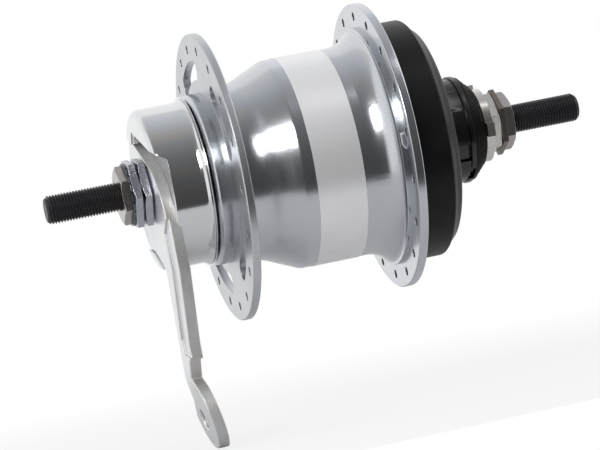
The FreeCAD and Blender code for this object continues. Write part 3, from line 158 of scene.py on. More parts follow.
class Tree:
    """A material's nodes, made by one method."""

    def __init__(self, name: str) -> None:
        """Makes a material with an empty tree."""
        self.material = bpy.data.materials.new(name)
        self.material.use_nodes = True
        self.nodes = self.material.node_tree.nodes
        self.links = self.material.node_tree.links
        self.nodes.clear()

    def node(
        self, kind: str, settings: Dict[str, object], inputs: Dict[Union[int, str], object]
    ) -> NodeHandle:
        """Adds a node.

        Args:
            kind: the node's type name.
            settings: its properties.
            inputs: numbers, colours or sockets for its inputs.

        Returns:
            The node.
        """
        made = self.nodes.new(kind)
        for key, setting in settings.items():
            setattr(made, key, setting)
        for key, given in inputs.items():
            if isinstance(given, Value):
                self.links.new(given.socket, made.inputs[key])
            else:
                made.inputs[key].default_value = given
        return NodeHandle(self, made)

    def place(self) -> Value:
        """Returns the Object coordinates."""
        return self.node("ShaderNodeTexCoord", {}, {}).out("Object")

    def parts(self, vector: Value) -> Tuple[Value, Value, Value]:
        """Returns a vector's three parts."""
        split = self.node("ShaderNodeSeparateXYZ", {}, {0: vector})
        return split.out("X"), split.out("Y"), split.out("Z")

    def vector(self, x: Number, y: Number, z: Number) -> Value:
        """Returns a vector of three parts."""
        return self.node("ShaderNodeCombineXYZ", {}, {"X": x, "Y": y, "Z": z}).out()

    def noise(self, vector: Value, scale: float, detail: float = 2.0, roughness: float = 0.5) -> Value:
        """Returns a noise of about 0 to 1 over a vector.

        Args:
            vector: where the noise is read.
            scale: how fine it is.
            detail: how many finer layers it has.
            roughness: how strong the finer layers are.

        Returns:
            The noise.
        """
        inputs = {"Vector": vector, "Scale": scale, "Detail": detail, "Roughness": roughness}
        return self.node("ShaderNodeTexNoise", {}, inputs).out("Fac")

    def mix(self, share: Number, first: object, second: object) -> Value:
        """Returns a mix of two colours.

        Args:
            share: how much of the second.
            first: a colour or socket.
            second: a colour or socket.

        Returns:
            The mixed colour.
        """
        made = self.node("ShaderNodeMix", {"data_type": "RGBA"}, {})
        for slot, given in (("Factor", share), ("A", first), ("B", second)):
            kind = "VALUE" if slot == "Factor" else "RGBA"
            socket = next(s for s in made.raw.inputs if s.name == slot and s.type == kind)
            if isinstance(given, Value):
                self.links.new(given.socket, socket)
            elif kind == "VALUE":
                socket.default_value = given
            else:
                socket.default_value = (*given, 1.0)
        result = next(s for s in made.raw.outputs if s.type == "RGBA")
        return Value(self, result)

    def bump(self, distance: float, height: Value) -> Value:
        """Returns a normal that is bent by a relief.

        Args:
            distance: how high a relief of 1 stands, in metres.
            height: the relief.

        Returns:
            The normal.
        """
        inputs = {"Strength": 1.0, "Distance": distance, "Height": height}
        return self.node("ShaderNodeBump", {}, inputs).out("Normal")

    def emission(self, colour: object, strength: Number) -> Value:
        """Returns a glowing surface.

        Args:
            colour: a colour of four numbers, or a socket.
            strength: how brightly it glows.

        Returns:
            The surface.
        """
        return self.node("ShaderNodeEmission", {}, {"Color": colour, "Strength": strength}).out()

    def finish(self, surface: Value) -> bpy.types.Material:
        """Adds the output.

        Args:
            surface: what the output shows.

        Returns:
            The material.
        """
        self.node("ShaderNodeOutputMaterial", {}, {"Surface": surface})
        return self.material

    def principled(self, inputs: Dict[str, object]) -> bpy.types.Material:
        """Adds the usual surface shader and the output.

        Args:
            inputs: the shader's inputs.

        Returns:
            The material.
        """
        return self.finish(self.node("ShaderNodeBsdfPrincipled", {}, inputs).out())


@dataclass(frozen=True)
class Metal:
    """A metal finish with fine lines, stains and fine grain.

    Attributes:
        name: the material's name.
        colour: its colour where it is clean.
        stain: its colour where it is stained.
        roughness: how rough it is on average.
        roughness_spread: how much the roughness varies.
        lines: how its fine lines run.
        line_scale: how fine the lines are.
        line_depth: how deep the lines are.
        stain_share: how strong the stains are.
        stain_levels: the pattern's levels between which a stain sets in.
        cloud_share: the broad clouds' share of that pattern.
        fine_share: the fine grain's share of it.
        grain_scale: how fine the clouds are.
        fine_factor: how many times finer than the clouds the grain is.
        bump: how high the grain is.
        bump_distance: how high a relief of 1 stands, in metres.
        metallic: how metallic it is, from 0 to 1.
        least_roughness: the least roughness anywhere.
    """

    name: str
    colour: Colour
    stain: Colour
    roughness: float
    roughness_spread: float = 0.08
    lines: Lines = Lines.TURNED
    line_scale: float = 9000.0
    line_depth: float = 0.02
    stain_share: float = 0.4
    stain_levels: Point = (0.38, 0.72)
    cloud_share: float = 0.75
    fine_share: float = 0.25
    grain_scale: float = 60.0
    fine_factor: float = 25
    bump: float = 0.02
    bump_distance: float = 0.0004
    metallic: float = 1.0
    least_roughness: float = 0.02

    def build(self) -> bpy.types.Material:
        """Makes the material."""
        tree = Tree(self.name)
        place = tree.place()
        x, y, z = tree.parts(place)
        if self.lines is Lines.TURNED:
            radius = (x * x + z * z).root()
            across = tree.vector(radius * self.line_scale, y * self.line_scale, 0.0)
        else:
            across = tree.vector(x * self.line_scale, y * self.line_scale, z * self.line_scale)
        line = tree.noise(across, 1.0, detail=3.0, roughness=0.6)
        cloud = tree.noise(place, self.grain_scale, detail=4.0, roughness=0.6)
        fine = tree.noise(place, self.grain_scale * self.fine_factor)
        patch = (cloud * self.cloud_share + fine * self.fine_share).within(*self.stain_levels)
        spread = self.roughness_spread
        rough = (line - 0.5) * spread + (cloud - 0.5) * spread + self.roughness
        height = line * self.line_depth + fine * self.bump
        return tree.principled({
            "Base Color": tree.mix(patch * self.stain_share, self.colour, self.stain),
            "Roughness": rough.larger(self.least_roughness),
            "Metallic": self.metallic,
            "Normal": tree.bump(self.bump_distance, height),
        })


@dataclass(frozen=True)
class Moulded:
    """A moulded plastic with a fine spark-eroded grain and slight colour change.

    Attributes:
        name: the material's name.
        colour: its colour where it is new.
        wear: its colour where it is worn.
        roughness: how rough it is on average.
        cloud_scale: how fine the worn patches are.
        cloud_spread: how much the roughness varies with them.
        wear_levels: the pattern's levels between which wear sets in.
        wear_share: how strong the wear is.
        grain_scale: how fine the grain is.
        grain_spread: how much the roughness varies with it.
        bump: how high the grain is.
        bump_distance: how high a relief of 1 stands, in metres.
        specular: how strongly the surface reflects.
    """

    name: str
    colour: Colour
    wear: Colour
    roughness: float
    cloud_scale: float = 45.0
    cloud_spread: float = 0.12
    wear_levels: Point = (0.4, 0.75)
    wear_share: float = 0.5
    grain_scale: float = 3000.0
    grain_spread: float = 0.08
    bump: float = 0.06
    bump_distance: float = 0.0003
    specular: float = 0.22

    def build(self) -> bpy.types.Material:
        """Makes the material."""
        tree = Tree(self.name)
        place = tree.place()
        cloud = tree.noise(place, self.cloud_scale, detail=4.0, roughness=0.6)
        grain = tree.noise(place, self.grain_scale, roughness=0.6)
        worn = cloud.within(*self.wear_levels) * self.wear_share
        rough = (cloud - 0.5) * self.cloud_spread + (grain - 0.5) * self.grain_spread + self.roughness
        return tree.principled({
            "Base Color": tree.mix(worn, self.colour, self.wear),
            "Roughness": rough,
            "Specular IOR Level": self.specular,
            "Normal": tree.bump(self.bump_distance, grain * self.bump),
        })


Finish = Union[Metal, Moulded]

POLISHED = Metal(
    "polished_alloy", (0.60, 0.62, 0.65), (0.53, 0.55, 0.59), 0.21, 0.05, line_depth=0.012,
)
SATIN = Metal("satin_alloy", (0.58, 0.60, 0.62), (0.51, 0.53, 0.56), 0.34, 0.10, line_depth=0.03)
CHROME = Metal("chrome", (0.74, 0.75, 0.76), (0.65, 0.65, 0.66), 0.12, 0.05, line_depth=0.004)
ARM_STEEL = Metal(
    "arm_steel", (0.84, 0.85, 0.86), (0.68, 0.69, 0.70), 0.38, 0.12, lines=Lines.NONE,
    line_scale=900.0, line_depth=0.03, grain_scale=64.0, bump=0.14, metallic=0.9,
)
# The brake arm's cut edge faces: rougher and speckled like a sheared edge, and darker than the arm's
# face as painted shade.
CUT_STEEL_WITH_SHADE = Metal(
    "cut_steel_painted_shade", (0.62, 0.61, 0.60), (0.38, 0.37, 0.36), 0.46, 0.16, lines=Lines.NONE,
    line_scale=900.0, line_depth=0.03, grain_scale=110.0, bump=0.3, metallic=0.9,
)
DARK_STEEL = Metal(
    "dark_steel", (0.16, 0.17, 0.20), (0.09, 0.09, 0.11), 0.32, 0.15, lines=Lines.NONE,
    line_scale=1500.0, line_depth=0.04, grain_scale=200.0, bump=0.05,
)
PLATED_STEEL = Metal(
    "plated_steel", (0.50, 0.50, 0.55), (0.26, 0.26, 0.31), 0.24, 0.15, lines=Lines.NONE,
    line_scale=1500.0, line_depth=0.05, grain_scale=56.0, bump=0.30,
)
BROWN_STEEL = Metal(
    "brown_steel", (0.23, 0.20, 0.18), (0.13, 0.11, 0.10), 0.36, 0.15, lines=Lines.NONE,
    line_scale=1500.0, line_depth=0.04, grain_scale=200.0, bump=0.05,
)
LOCKNUT_STEEL = Metal(
    "locknut_steel", (0.46, 0.43, 0.41), (0.30, 0.28, 0.27), 0.26, 0.12, lines=Lines.NONE,
    line_scale=1500.0, line_depth=0.04, grain_scale=200.0, bump=0.06,
)
OILED_STEEL = Metal(
    "oiled_steel", (0.055, 0.053, 0.052), (0.11, 0.105, 0.10), 0.24, 0.15,
    line_scale=5000.0, line_depth=0.05, grain_scale=150.0, bump=0.05,
)
BRIGHT_STEEL = Metal("bright_steel", (0.68, 0.66, 0.62), (0.55, 0.53, 0.50), 0.24, 0.10)
BLACK_STEEL = Metal(
    "black_steel", (0.035, 0.035, 0.040), (0.06, 0.055, 0.05), 0.42, 0.15, lines=Lines.NONE,
    line_scale=2500.0, line_depth=0.03, grain_scale=300.0, bump=0.05, metallic=0.6,
)
GEAR_STEEL = Metal("gear_steel", (0.42, 0.42, 0.44), (0.30, 0.29, 0.28), 0.30)
BEARING_STEEL = Metal("bearing_steel", (0.60, 0.60, 0.62), (0.52, 0.52, 0.54), 0.14)
BRASS = Metal("brass", (0.60, 0.46, 0.24), (0.48, 0.35, 0.18), 0.30)
BLACK_PLASTIC = Moulded("black_plastic", (0.003, 0.003, 0.0035), (0.010, 0.010, 0.011), 0.40)
LABEL = Metal(
    "label_film", (0.83, 0.83, 0.84), (0.77, 0.77, 0.79), 0.36, 0.06, lines=Lines.NONE,
    line_scale=2600.0, line_depth=0.01, grain_scale=120.0, bump=0.01, metallic=0.6,
)

SLOT_FINISHES = {
    "black_steel": BLACK_STEEL, "dark_steel": DARK_STEEL, "plated_steel": PLATED_STEEL,
    "brown_steel": BROWN_STEEL, "bright_steel": BRIGHT_STEEL, "arm_steel": ARM_STEEL, "chrome": CHROME,
    "polished_alloy": POLISHED, "satin_alloy": SATIN, "label": LABEL, "gear_steel": GEAR_STEEL,
    "bearing_steel": BEARING_STEEL, "brass": BRASS, "black_plastic": BLACK_PLASTIC,
}


def spin(
    mesh: bmesh.types.BMesh, geometry: Sequence[object], angle: float, steps: int, **options: object
) -> None:
    """Sweeps geometry round the axle.

    Args:
        mesh: the shape.
        geometry: what is swept.
        angle: how far, in radians.
        steps: in how many steps.
        options: Blender's other options for the sweep.
    """
    bmesh.ops.spin(mesh, geom=geometry, cent=CENTRE, axis=AXLE, angle=angle, steps=steps, **options)


def rotate(
    mesh: bmesh.types.BMesh, verts: Sequence[bmesh.types.BMVert], angle: float, axis: str
) -> None:
    """Turns corners about an axis through the origin.

    Args:
        mesh: the shape.
        verts: the corners.
        angle: the turn in radians.
        axis: the letter of the axis.
    """
    bmesh.ops.rotate(mesh, cent=CENTRE, matrix=Matrix.Rotation(angle, 3, axis), verts=verts)


def join_up(
    mesh: bmesh.types.BMesh, verts: List[bmesh.types.BMVert], closed: bool
) -> List[bmesh.types.BMEdge]:
    """Joins corners by edges, one after the other.

    Args:
        mesh: the shape.
        verts: the corners.
        closed: whether the last is joined to the first.

    Returns:
        The edges.
    """
    following = verts[1:] + verts[:1] if closed else verts[1:]
    return [mesh.edges.new(pair) for pair in zip(verts, following)]


def join_flat(mesh: bmesh.types.BMesh, distance: float) -> None:
    """Merges corners that meet, and triangles that lie in one plane.

    Args:
        mesh: the shape.
        distance: how far apart corners that meet can be, in metres.
    """
    bmesh.ops.remove_doubles(mesh, verts=mesh.verts, dist=distance)
    bmesh.ops.dissolve_limit(mesh, angle_limit=FLAT_ANGLE, verts=mesh.verts, edges=mesh.edges)


def mesh_data(name: str, mesh: bmesh.types.BMesh) -> bpy.types.Mesh:
    """Stores a shape under a name and frees it.

    Args:
        name: the name.
        mesh: the shape.

    Returns:
        The stored shape.
    """
    data = bpy.data.meshes.new(name)
    mesh.to_mesh(data)
    mesh.free()
    return data


@dataclass
class Studio:
    """The camera, the lamps, the table, the painted reflections of the dim room in front and the white
    backdrop.

    Attributes:
        eye: the camera's place, fitted to the photograph like the next four.
        right: the direction of its right-hand side.
        up: the direction of its upper side.
        lens: its focal length in millimetres.
        floor_level: the height of the table.
        sensor: the width of the camera's sensor in millimetres.
        near: the nearest distance that it shows.
        far: the farthest.
        ambient: the backdrop's brightness as a light.
        floor_back: where the table ends behind the object.
        floor_front: where it ends in front.
        floor_side: how far it reaches to either side.
        floor_colour: its colour.
        floor_fade: the distances between which it turns wholly white.
        floor_white: how white it is near the object, where it shows a shadow.
        floor_whiter: what it gains with the distance.
        room_radius: the distance from the axle of the glowing sheet that paints the dim room into
            reflections.
        room_low: its lower end, as an angle in degrees about the axle.
        room_high: its upper end, as an angle too.
        room_left: its left end along the axle.
        room_right: its right end along the axle.
        room_steps: the steps in its curve.
        room_rise: how fast its painted glow brightens from its lower front to its upper back.
        room_base: the painted glow's brightness at the lowest.
        room_slope: what it gains evenly.
        room_top: what it gains near the top.
        room_curve: how late that gain sets in.
        cloud_scale: how fine the painted patches of colour on it are.
        cloud_levels: the pattern's levels between which the colour changes.
        cool: the colour of its cooler painted patches.
        warm: the colour of its warmer painted patches.
    """

    eye: Vector = field(default_factory=lambda: Vector((0.9635, -0.2206, -0.0209)))
    right: Vector = field(default_factory=lambda: Vector((0.2095, 0.9575, -0.1982)))
    up: Vector = field(default_factory=lambda: Vector((0.0424, 0.1936, 0.9802)))
    lens: float = 178.54
    floor_level: float = -0.0878
    sensor: float = 36.0
    near: float = 0.01
    far: float = 50.0
    ambient: float = 0.62
    floor_back: float = -4.0
    floor_front: float = 0.13
    floor_side: float = 4.0
    floor_colour: Colour = (0.66, 0.66, 0.67)
    floor_fade: Point = (0.12, 0.55)
    floor_white: float = 0.8
    floor_whiter: float = 0.2
    room_radius: float = 1.7
    room_low: float = -60.0
    room_high: float = 125.0
    room_left: float = -1.5
    room_right: float = 3.4
    room_steps: int = 48
    room_rise: float = 0.3536
    room_base: float = 0.062
    room_slope: float = 0.22
    room_top: float = 0.52
    room_curve: float = 4.0
    cloud_scale: float = 1.6
    cloud_levels: Point = (0.35, 0.7)
    cool: Colour = (0.92, 0.96, 1.04)
    warm: Colour = (1.08, 1.02, 0.94)

    def camera(self) -> None:
        """Makes the camera at the photograph's view."""
        data = bpy.data.cameras.new("view")
        data.lens = self.lens
        data.sensor_width = self.sensor
        data.clip_start = self.near
        data.clip_end = self.far
        eye = bpy.data.objects.new("view", data)
        right = self.right.normalized()
        back = right.cross(self.up).normalized()
        up = back.cross(right)
        turn = Matrix((right, up, back)).transposed().to_4x4()
        eye.matrix_world = Matrix.Translation(self.eye) @ turn
        bpy.context.scene.collection.objects.link(eye)
        bpy.context.scene.camera = eye

    def lamp(self, name: str, place: Point3, size: Point, power: float) -> None:
        """Adds a soft area lamp that faces the object.

        Args:
            name: its name.
            place: where it stands.
            size: its width and height.
            power: its power in watts.
        """
        data = bpy.data.lights.new(name, "AREA")
        data.shape = "RECTANGLE"
        data.size, data.size_y = size
        data.energy = power
        lamp = bpy.data.objects.new(name, data)
        lamp.location = place
        lamp.rotation_euler = (Vector(CENTRE) - Vector(place)).to_track_quat("-Z", "Y").to_euler()
        bpy.context.scene.collection.objects.link(lamp)

    def world(self) -> None:
        """Makes the backdrop white to the eye and in reflections, and dimmer as a light."""
        world = bpy.data.worlds.new("studio")
        bpy.context.scene.world = world
        world.use_nodes = True
        nodes, links = world.node_tree.nodes, world.node_tree.links
        nodes.clear()
        path = nodes.new("ShaderNodeLightPath")
        seen = path.outputs["Is Camera Ray"]
        for ray in ("Is Glossy Ray", "Is Transmission Ray"):
            larger = nodes.new("ShaderNodeMath")
            larger.operation = "MAXIMUM"
            links.new(seen, larger.inputs[0])
            links.new(path.outputs[ray], larger.inputs[1])
            seen = larger.outputs[0]
        level = nodes.new("ShaderNodeMapRange")
        level.inputs["To Min"].default_value = self.ambient
        level.inputs["To Max"].default_value = 1.0
        links.new(seen, level.inputs["Value"])
        background = nodes.new("ShaderNodeBackground")
        background.inputs["Color"].default_value = WHITE
        links.new(level.outputs[0], background.inputs["Strength"])
        output = nodes.new("ShaderNodeOutputWorld")
        links.new(background.outputs[0], output.inputs[0])

    def floor(self) -> None:
        """Makes the plain pale table top, which ends in front of the object and shows a faint shadow."""
        mesh = bmesh.new()
        bmesh.ops.create_grid(mesh, x_segments=1, y_segments=1, size=0.5)
        span = (self.floor_front - self.floor_back, 2 * self.floor_side, 1.0)
        bmesh.ops.scale(mesh, vec=span, verts=mesh.verts)
        middle = ((self.floor_front + self.floor_back) / 2, 0, self.floor_level)
        bmesh.ops.translate(mesh, vec=middle, verts=mesh.verts)
        data = mesh_data("floor", mesh)
        floor = bpy.data.objects.new("floor", data)
        tree = Tree("pale_floor")
        x, y, _ = tree.parts(tree.place())
        away = (x * x + y * y).root().within(*self.floor_fade)
        path = tree.node("ShaderNodeLightPath", {}, {})
        diffuse = tree.node("ShaderNodeBsdfDiffuse", {}, {"Color": (*self.floor_colour, 1.0)}).out()
        glow = tree.emission(WHITE, 1.0)
        seen = path.out("Is Camera Ray").larger(path.out("Is Transmission Ray"))
        whiteness = away * self.floor_whiter + self.floor_white
        share = (seen * whiteness).larger(path.out("Is Glossy Ray") * away)
        mixed = tree.node("ShaderNodeMixShader", {}, {0: share, 1: diffuse, 2: glow}).out()
        data.materials.append(tree.finish(mixed))
        bpy.context.scene.collection.objects.link(floor)

    def painted_reflection_room(self) -> None:
        """Makes a glowing curved sheet that shows only in reflections, painting the dim room in front of
        the table into them.
        """
        mesh = bmesh.new()
        low = [mesh.verts.new((self.room_radius, y, 0.0)) for y in (self.room_left, self.room_right)]
        edges = join_up(mesh, low, False)
        rotate(mesh, mesh.verts, -math.radians(self.room_low), "Y")
        angle = math.radians(self.room_low - self.room_high)
        spin(mesh, [*low, *edges], angle, self.room_steps)
        data = mesh_data("painted_reflection_room", mesh)
        room = bpy.data.objects.new("painted_reflection_room", data)
        tree = Tree("painted_reflection_glow")
        place = tree.place()
        x, _, z = tree.parts(place)
        # painted reflection: the sheet glows brighter towards its top and back, with painted warm and
        # cool patches
        rise = (z - x) * (self.room_rise / self.room_radius) + 0.5
        top = rise.larger(0.0).power(self.room_curve) * self.room_top
        level = rise * self.room_slope + top + self.room_base
        cloud = tree.noise(place, self.cloud_scale, detail=3.0, roughness=0.6)
        glow = tree.emission(tree.mix(cloud.within(*self.cloud_levels), self.cool, self.warm), level)
        data.materials.append(tree.finish(glow))
        bpy.context.scene.collection.objects.link(room)
        room.visible_camera = False
        room.visible_diffuse = False
        room.visible_shadow = False

    def build(self) -> None:
        """Builds the whole studio."""
        self.camera()
        self.world()
        self.floor()
        self.painted_reflection_room()
        self.lamp("key", (1.05, -0.61, 0.59), (0.60, 0.42), 8.0)
        self.lamp("fill", (0.5, 0.9, 1.0), (0.9, 0.9), 5.0)
        bpy.context.scene.view_settings.view_transform = "Standard"


class Finishes:
    """The finishes' materials, each made once."""

    def __init__(self) -> None:
        """Starts with no material made."""
        self.built: Dict[str, bpy.types.Material] = {}

    def of(self, style: Finish) -> bpy.types.Material:
        """Returns a finish's material."""
        if style.name not in self.built:
            self.built[style.name] = style.build()
        return self.built[style.name]


@dataclass
class Piece:
    """A piece that is being shaped, with its edges and its finish.

    Attributes:
        name: its name.
        body: the body that it moves with.
        slot: its material slot in the record; not used.
        style: its finish.
        sharp_angle: edges that are sharper than this stay crisp, in degrees.
        even_normals: whether its shading is evened out over large faces.
        replaces: the CAD nodes that it stands for.
        cut: the finish of the faces that run along the axle, where it differs.
    """

    name: str
    body: str
    slot: str
    style: Finish
    sharp_angle: float = 38.0
    even_normals: bool = True
    replaces: Tuple[str, ...] = ()
    cut: Optional[Finish] = None

    def place(self, mesh: bmesh.types.BMesh, finishes: Finishes) -> None:
        """Turns the mesh into an object on its body.

        Args:
            mesh: the shape in metres, which is freed.
            finishes: the materials.
        """
        mesh.normal_update()
        for face in mesh.faces:
            face.smooth = True
            if self.cut is not None and abs(face.normal.y) < CUT_FACE_LIMIT:
                face.material_index = 1
        data = mesh_data(self.name, mesh)
        data.set_sharp_from_angle(angle=math.radians(self.sharp_angle))
        data.materials.append(finishes.of(self.style))
        if self.cut is not None:
            data.materials.append(finishes.of(self.cut))
        made = bpy.data.objects.new(self.name, data)
        bpy.context.scene.collection.objects.link(made)
        if self.even_normals:
            even = made.modifiers.new("even_normals", "WEIGHTED_NORMAL")
            even.keep_sharp = True
        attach(made, self.body)
        if self.replaces:
            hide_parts(*self.replaces)
        log.info("%s: %d faces on %s", self.name, len(data.polygons), self.body)


def merged_copy(node: bpy.types.Object) -> bmesh.types.BMesh:
    """Copies a CAD node's shape and merges its loose triangles into whole faces.

    Args:
        node: the CAD node.

    Returns:
        The merged shape.
    """
    mesh = bmesh.new()
    mesh.from_mesh(node.data)
    join_flat(mesh, MERGE_DISTANCE)
    return mesh


def sharp_edges(mesh: bmesh.types.BMesh, angle: float = 25.0) -> List[bmesh.types.BMEdge]:
    """Returns the edges whose faces meet at more than an angle.

    Args:
        mesh: the shape.
        angle: the angle in degrees.

    Returns:
        The edges.
    """
    least = math.radians(angle)
    return [
        edge for edge in mesh.edges
        if len(edge.link_faces) == 2 and edge.calc_face_angle(0.0) > least
    ]


def round_edges(
    mesh: bmesh.types.BMesh, edges: Sequence[bmesh.types.BMEdge], width: float, steps: int = 2
) -> None:
    """Rounds edges over.

    Args:
        mesh: the shape.
        edges: the edges.
        width: how far the rounding reaches, in millimetres.
        steps: how many faces it has across.
    """
    bmesh.ops.bevel(
        mesh, geom=list(edges), offset=width * MM, offset_type="OFFSET", segments=steps, profile=0.5,
        affect="EDGES", clamp_overlap=True, material=-1,
    )


@dataclass
class AxleEnds:
    """The threaded axle, with a real screw thread on both free ends. Lengths are in millimetres.

    Attributes:
        finishes: the materials.
        crest: the thread's outer radius.
        root: its inner radius.
        pitch: its pitch.
        crest_share: the crest's flat, as a share of the pitch.
        root_share: the root's flat, as a share of the pitch.
        tip_radius: the radius of the axle's end face.
        tip_slope: how fast the end's cone widens, per length along the axle.
        end: where the axle ends, from its middle.
        thread_start: where the free thread starts.
        overlap: how far the shank stops short of that, under the thread.
        steps: the steps in a turn.
        sharp_angle: edges of the thread that are sharper than this stay crisp, in degrees.
    """

    finishes: Finishes
    crest: float = 4.75
    root: float = 4.16
    pitch: float = 0.977
    crest_share: float = 0.18
    root_share: float = 0.14
    tip_radius: float = 3.75
    tip_slope: float = 0.9
    end: float = 92.0
    thread_start: float = 67.8
    overlap: float = 0.2
    steps: int = 40
    sharp_angle: float = 30.0

    def middle(self) -> bmesh.types.BMesh:
        """Copies the axle between its two threads.

        Returns:
            The closed shape.
        """
        mesh = merged_copy(frame["nodes"]["axle"])
        for side in (-1, 1):
            whole = [*mesh.verts, *mesh.edges, *mesh.faces]
            place = (0, side * (self.thread_start - self.overlap) * MM, 0)
            cut = bmesh.ops.bisect_plane(
                mesh, geom=whole, plane_co=place, plane_no=(0, side, 0), clear_outer=True,
            )
            rim = [item for item in cut["geom_cut"] if isinstance(item, bmesh.types.BMEdge)]
            bmesh.ops.holes_fill(mesh, edges=rim, sides=0)
        return mesh

    def thread(self, side: int) -> bmesh.types.BMesh:
        """Winds one end's thread and trims it to a tapered tip.

        Args:
            side: -1 for the brake side, 1 for the drive side.

        Returns:
            The thread in metres.
        """
        mesh = bmesh.new()
        crest, root = self.crest_share * self.pitch, self.root_share * self.pitch
        start = self.thread_start - self.pitch
        turns = math.ceil((self.end - start) / self.pitch) + 1
        flank = (self.pitch - crest - root) / 2
        line = [
            (self.root, 0.0), (self.root, root), (self.crest, root + flank),
            (self.crest, root + flank + crest), (self.root, self.pitch),
        ]
        if side < 0:
            start = -self.end - self.pitch
        verts = [mesh.verts.new((radius * MM, (start + along) * MM, 0.0)) for radius, along in line]
        edges = join_up(mesh, verts, False)
        advance = (0, self.pitch / self.steps * MM, 0)
        spin(mesh, [*verts, *edges], FULL_TURN * turns, self.steps * turns, dvec=advance)
        bmesh.ops.remove_doubles(mesh, verts=mesh.verts, dist=2 * MERGE_DISTANCE)
        bmesh.ops.recalc_face_normals(mesh, faces=mesh.faces)
        self._trim(mesh)
        tip = bmesh.ops.create_circle(
            mesh, cap_ends=True, segments=self.steps, radius=self.tip_radius * MM,
        )
        rotate(mesh, tip["verts"], -side * math.pi / 2, "X")
        bmesh.ops.translate(mesh, vec=(0, side * self.end * MM, 0), verts=tip["verts"])
        return mesh

    def _trim(self, mesh: bmesh.types.BMesh) -> None:
        """Brings what lies past the tip, or outside its cone, back to them."""
        for vert in mesh.verts:
            along = min(abs(vert.co.y) / MM, self.end)
            vert.co.y = math.copysign(along * MM, vert.co.y)
            radius = math.hypot(vert.co.x, vert.co.z) / MM
            limit = self.tip_radius + (self.end - along) * self.tip_slope
            if radius > limit:
                vert.co.x *= limit / radius
                vert.co.z *= limit / radius

    def build(self) -> None:
        """Builds the axle."""
        middle = Piece("axle_shank", "axle_side", "black_steel", BLACK_STEEL, replaces=("axle",))
        middle.place(self.middle(), self.finishes)
        for side, name in ((-1, "axle_thread_left"), (1, "axle_thread_right")):
            piece = Piece(
                name, "axle_side", "black_steel", BLACK_STEEL,
                sharp_angle=self.sharp_angle, even_normals=False,
            )
            piece.place(self.thread(side), self.finishes)


@dataclass(frozen=True)
class Refined:
    """How a CAD node's merged copy is finished. Lengths are in millimetres.

    Attributes:
        node: the CAD node's name.
        style: its finish.
        rounding: how far its edges are rounded over.
        steps: how many faces a rounding has across.
        turn: how far it is turned on the axle, in degrees.
        fillets: whether hollow edges are rounded too.
        hole_circle: the radii between which the rims of its spoke holes lie.
        hole_rounding: how far those rims are rounded over.
        shoulder: where its inner shoulder lies along the axle.
        relief: how far that shoulder is moved towards the brake side.
        cut: the finish of its cut faces, where it differs.
    """

    node: str
    style: Finish
    rounding: float = 0.2
    steps: int = 2
    turn: float = 0.0
    fillets: bool = False
    hole_circle: Tuple[float, float] = (0.0, 0.0)
    hole_rounding: float = 0.4
    shoulder: float = 0.0
    relief: float = 0.0
    cut: Optional[Finish] = None


@dataclass
class RefinedGroup:
    """Pieces of one body whose edges are rounded over as on the real ones."""

    body: str
    finishes: Finishes
    rows: Tuple[Refined, ...]

    def shape(self, row: Refined) -> bmesh.types.BMesh:
        """Merges a node, turns it, relieves its inner shoulder and rounds its sharp edges.

        Args:
            row: how the node is finished.

        Returns:
            The finished shape.
        """
        mesh = merged_copy(frame["nodes"][row.node])
        rotate(mesh, mesh.verts, math.radians(-row.turn), "Y")
        if row.relief:
            for vert in mesh.verts:
                if abs(vert.co.y / MM - row.shoulder) < SHOULDER_TOLERANCE:
                    vert.co.y -= row.relief * MM
        least, most = (edge * MM for edge in row.hole_circle)
        rims, others = [], []
        for edge in sharp_edges(mesh):
            if not edge.is_convex and not row.fillets:
                continue
            on_circle = all(least < math.hypot(vert.co.x, vert.co.z) < most for vert in edge.verts)
            (rims if on_circle else others).append(edge)
        round_edges(mesh, others, row.rounding, row.steps)
        if rims:
            round_edges(mesh, rims, row.hole_rounding)
        return mesh

    def build(self, slots: Dict[str, str]) -> None:
        """Builds every piece of the group.

        Args:
            slots: the record's material slot of each node.
        """
        for row in self.rows:
            piece = Piece(
                f"{row.node}_finished", self.body, slots[row.node], row.style,
                replaces=(row.node,), cut=row.cut,
            )
            piece.place(self.shape(row), self.finishes)


NUTS_AND_BRAKE = (
    Refined("left_locknut", LOCKNUT_STEEL, 0.15, turn=26.0),
    Refined("left_lock_washer", DARK_STEEL, 0.12),
    Refined("arm_stop_nut", PLATED_STEEL, 0.18, turn=-18.5),
    Refined("arm_spacer_washer", DARK_STEEL, 0.12),
    Refined("arm_clamp_nut", PLATED_STEEL, 0.18, turn=-18.5),
    Refined("arm_seat_collar", DARK_STEEL, 0.1),
    # the arm's cut edge faces take the darker finish, partly painted shade
    Refined("brake_arm", ARM_STEEL, 0.45, 3, fillets=True, cut=CUT_STEEL_WITH_SHADE),
    Refined("right_stop_nut", BRIGHT_STEEL, 0.15),
    Refined("right_non_turn_washer", BROWN_STEEL, 0.12),
    Refined("right_locknut", LOCKNUT_STEEL, 0.15),
)
SHELL_PIECES = (
    Refined("hub_shell", POLISHED, 0.15, hole_circle=(41.5, 46.2), shoulder=-13.6, relief=0.05),
    Refined("left_flange", SATIN, 0.12, hole_circle=(41.2, 46.2)),
    Refined("label_band", LABEL, 0.03, 1),
    Refined("right_dust_cap", BLACK_PLASTIC, 0.3, 3),
)
DRIVER_PIECES = (
    Refined("driver", OILED_STEEL, 0.12),
    Refined("driver_cap", BLACK_PLASTIC, 0.15),
    Refined("driver_dust_ring", BLACK_PLASTIC, 0.12),
    Refined("sprocket_snap_ring", OILED_STEEL, 0.15),
)


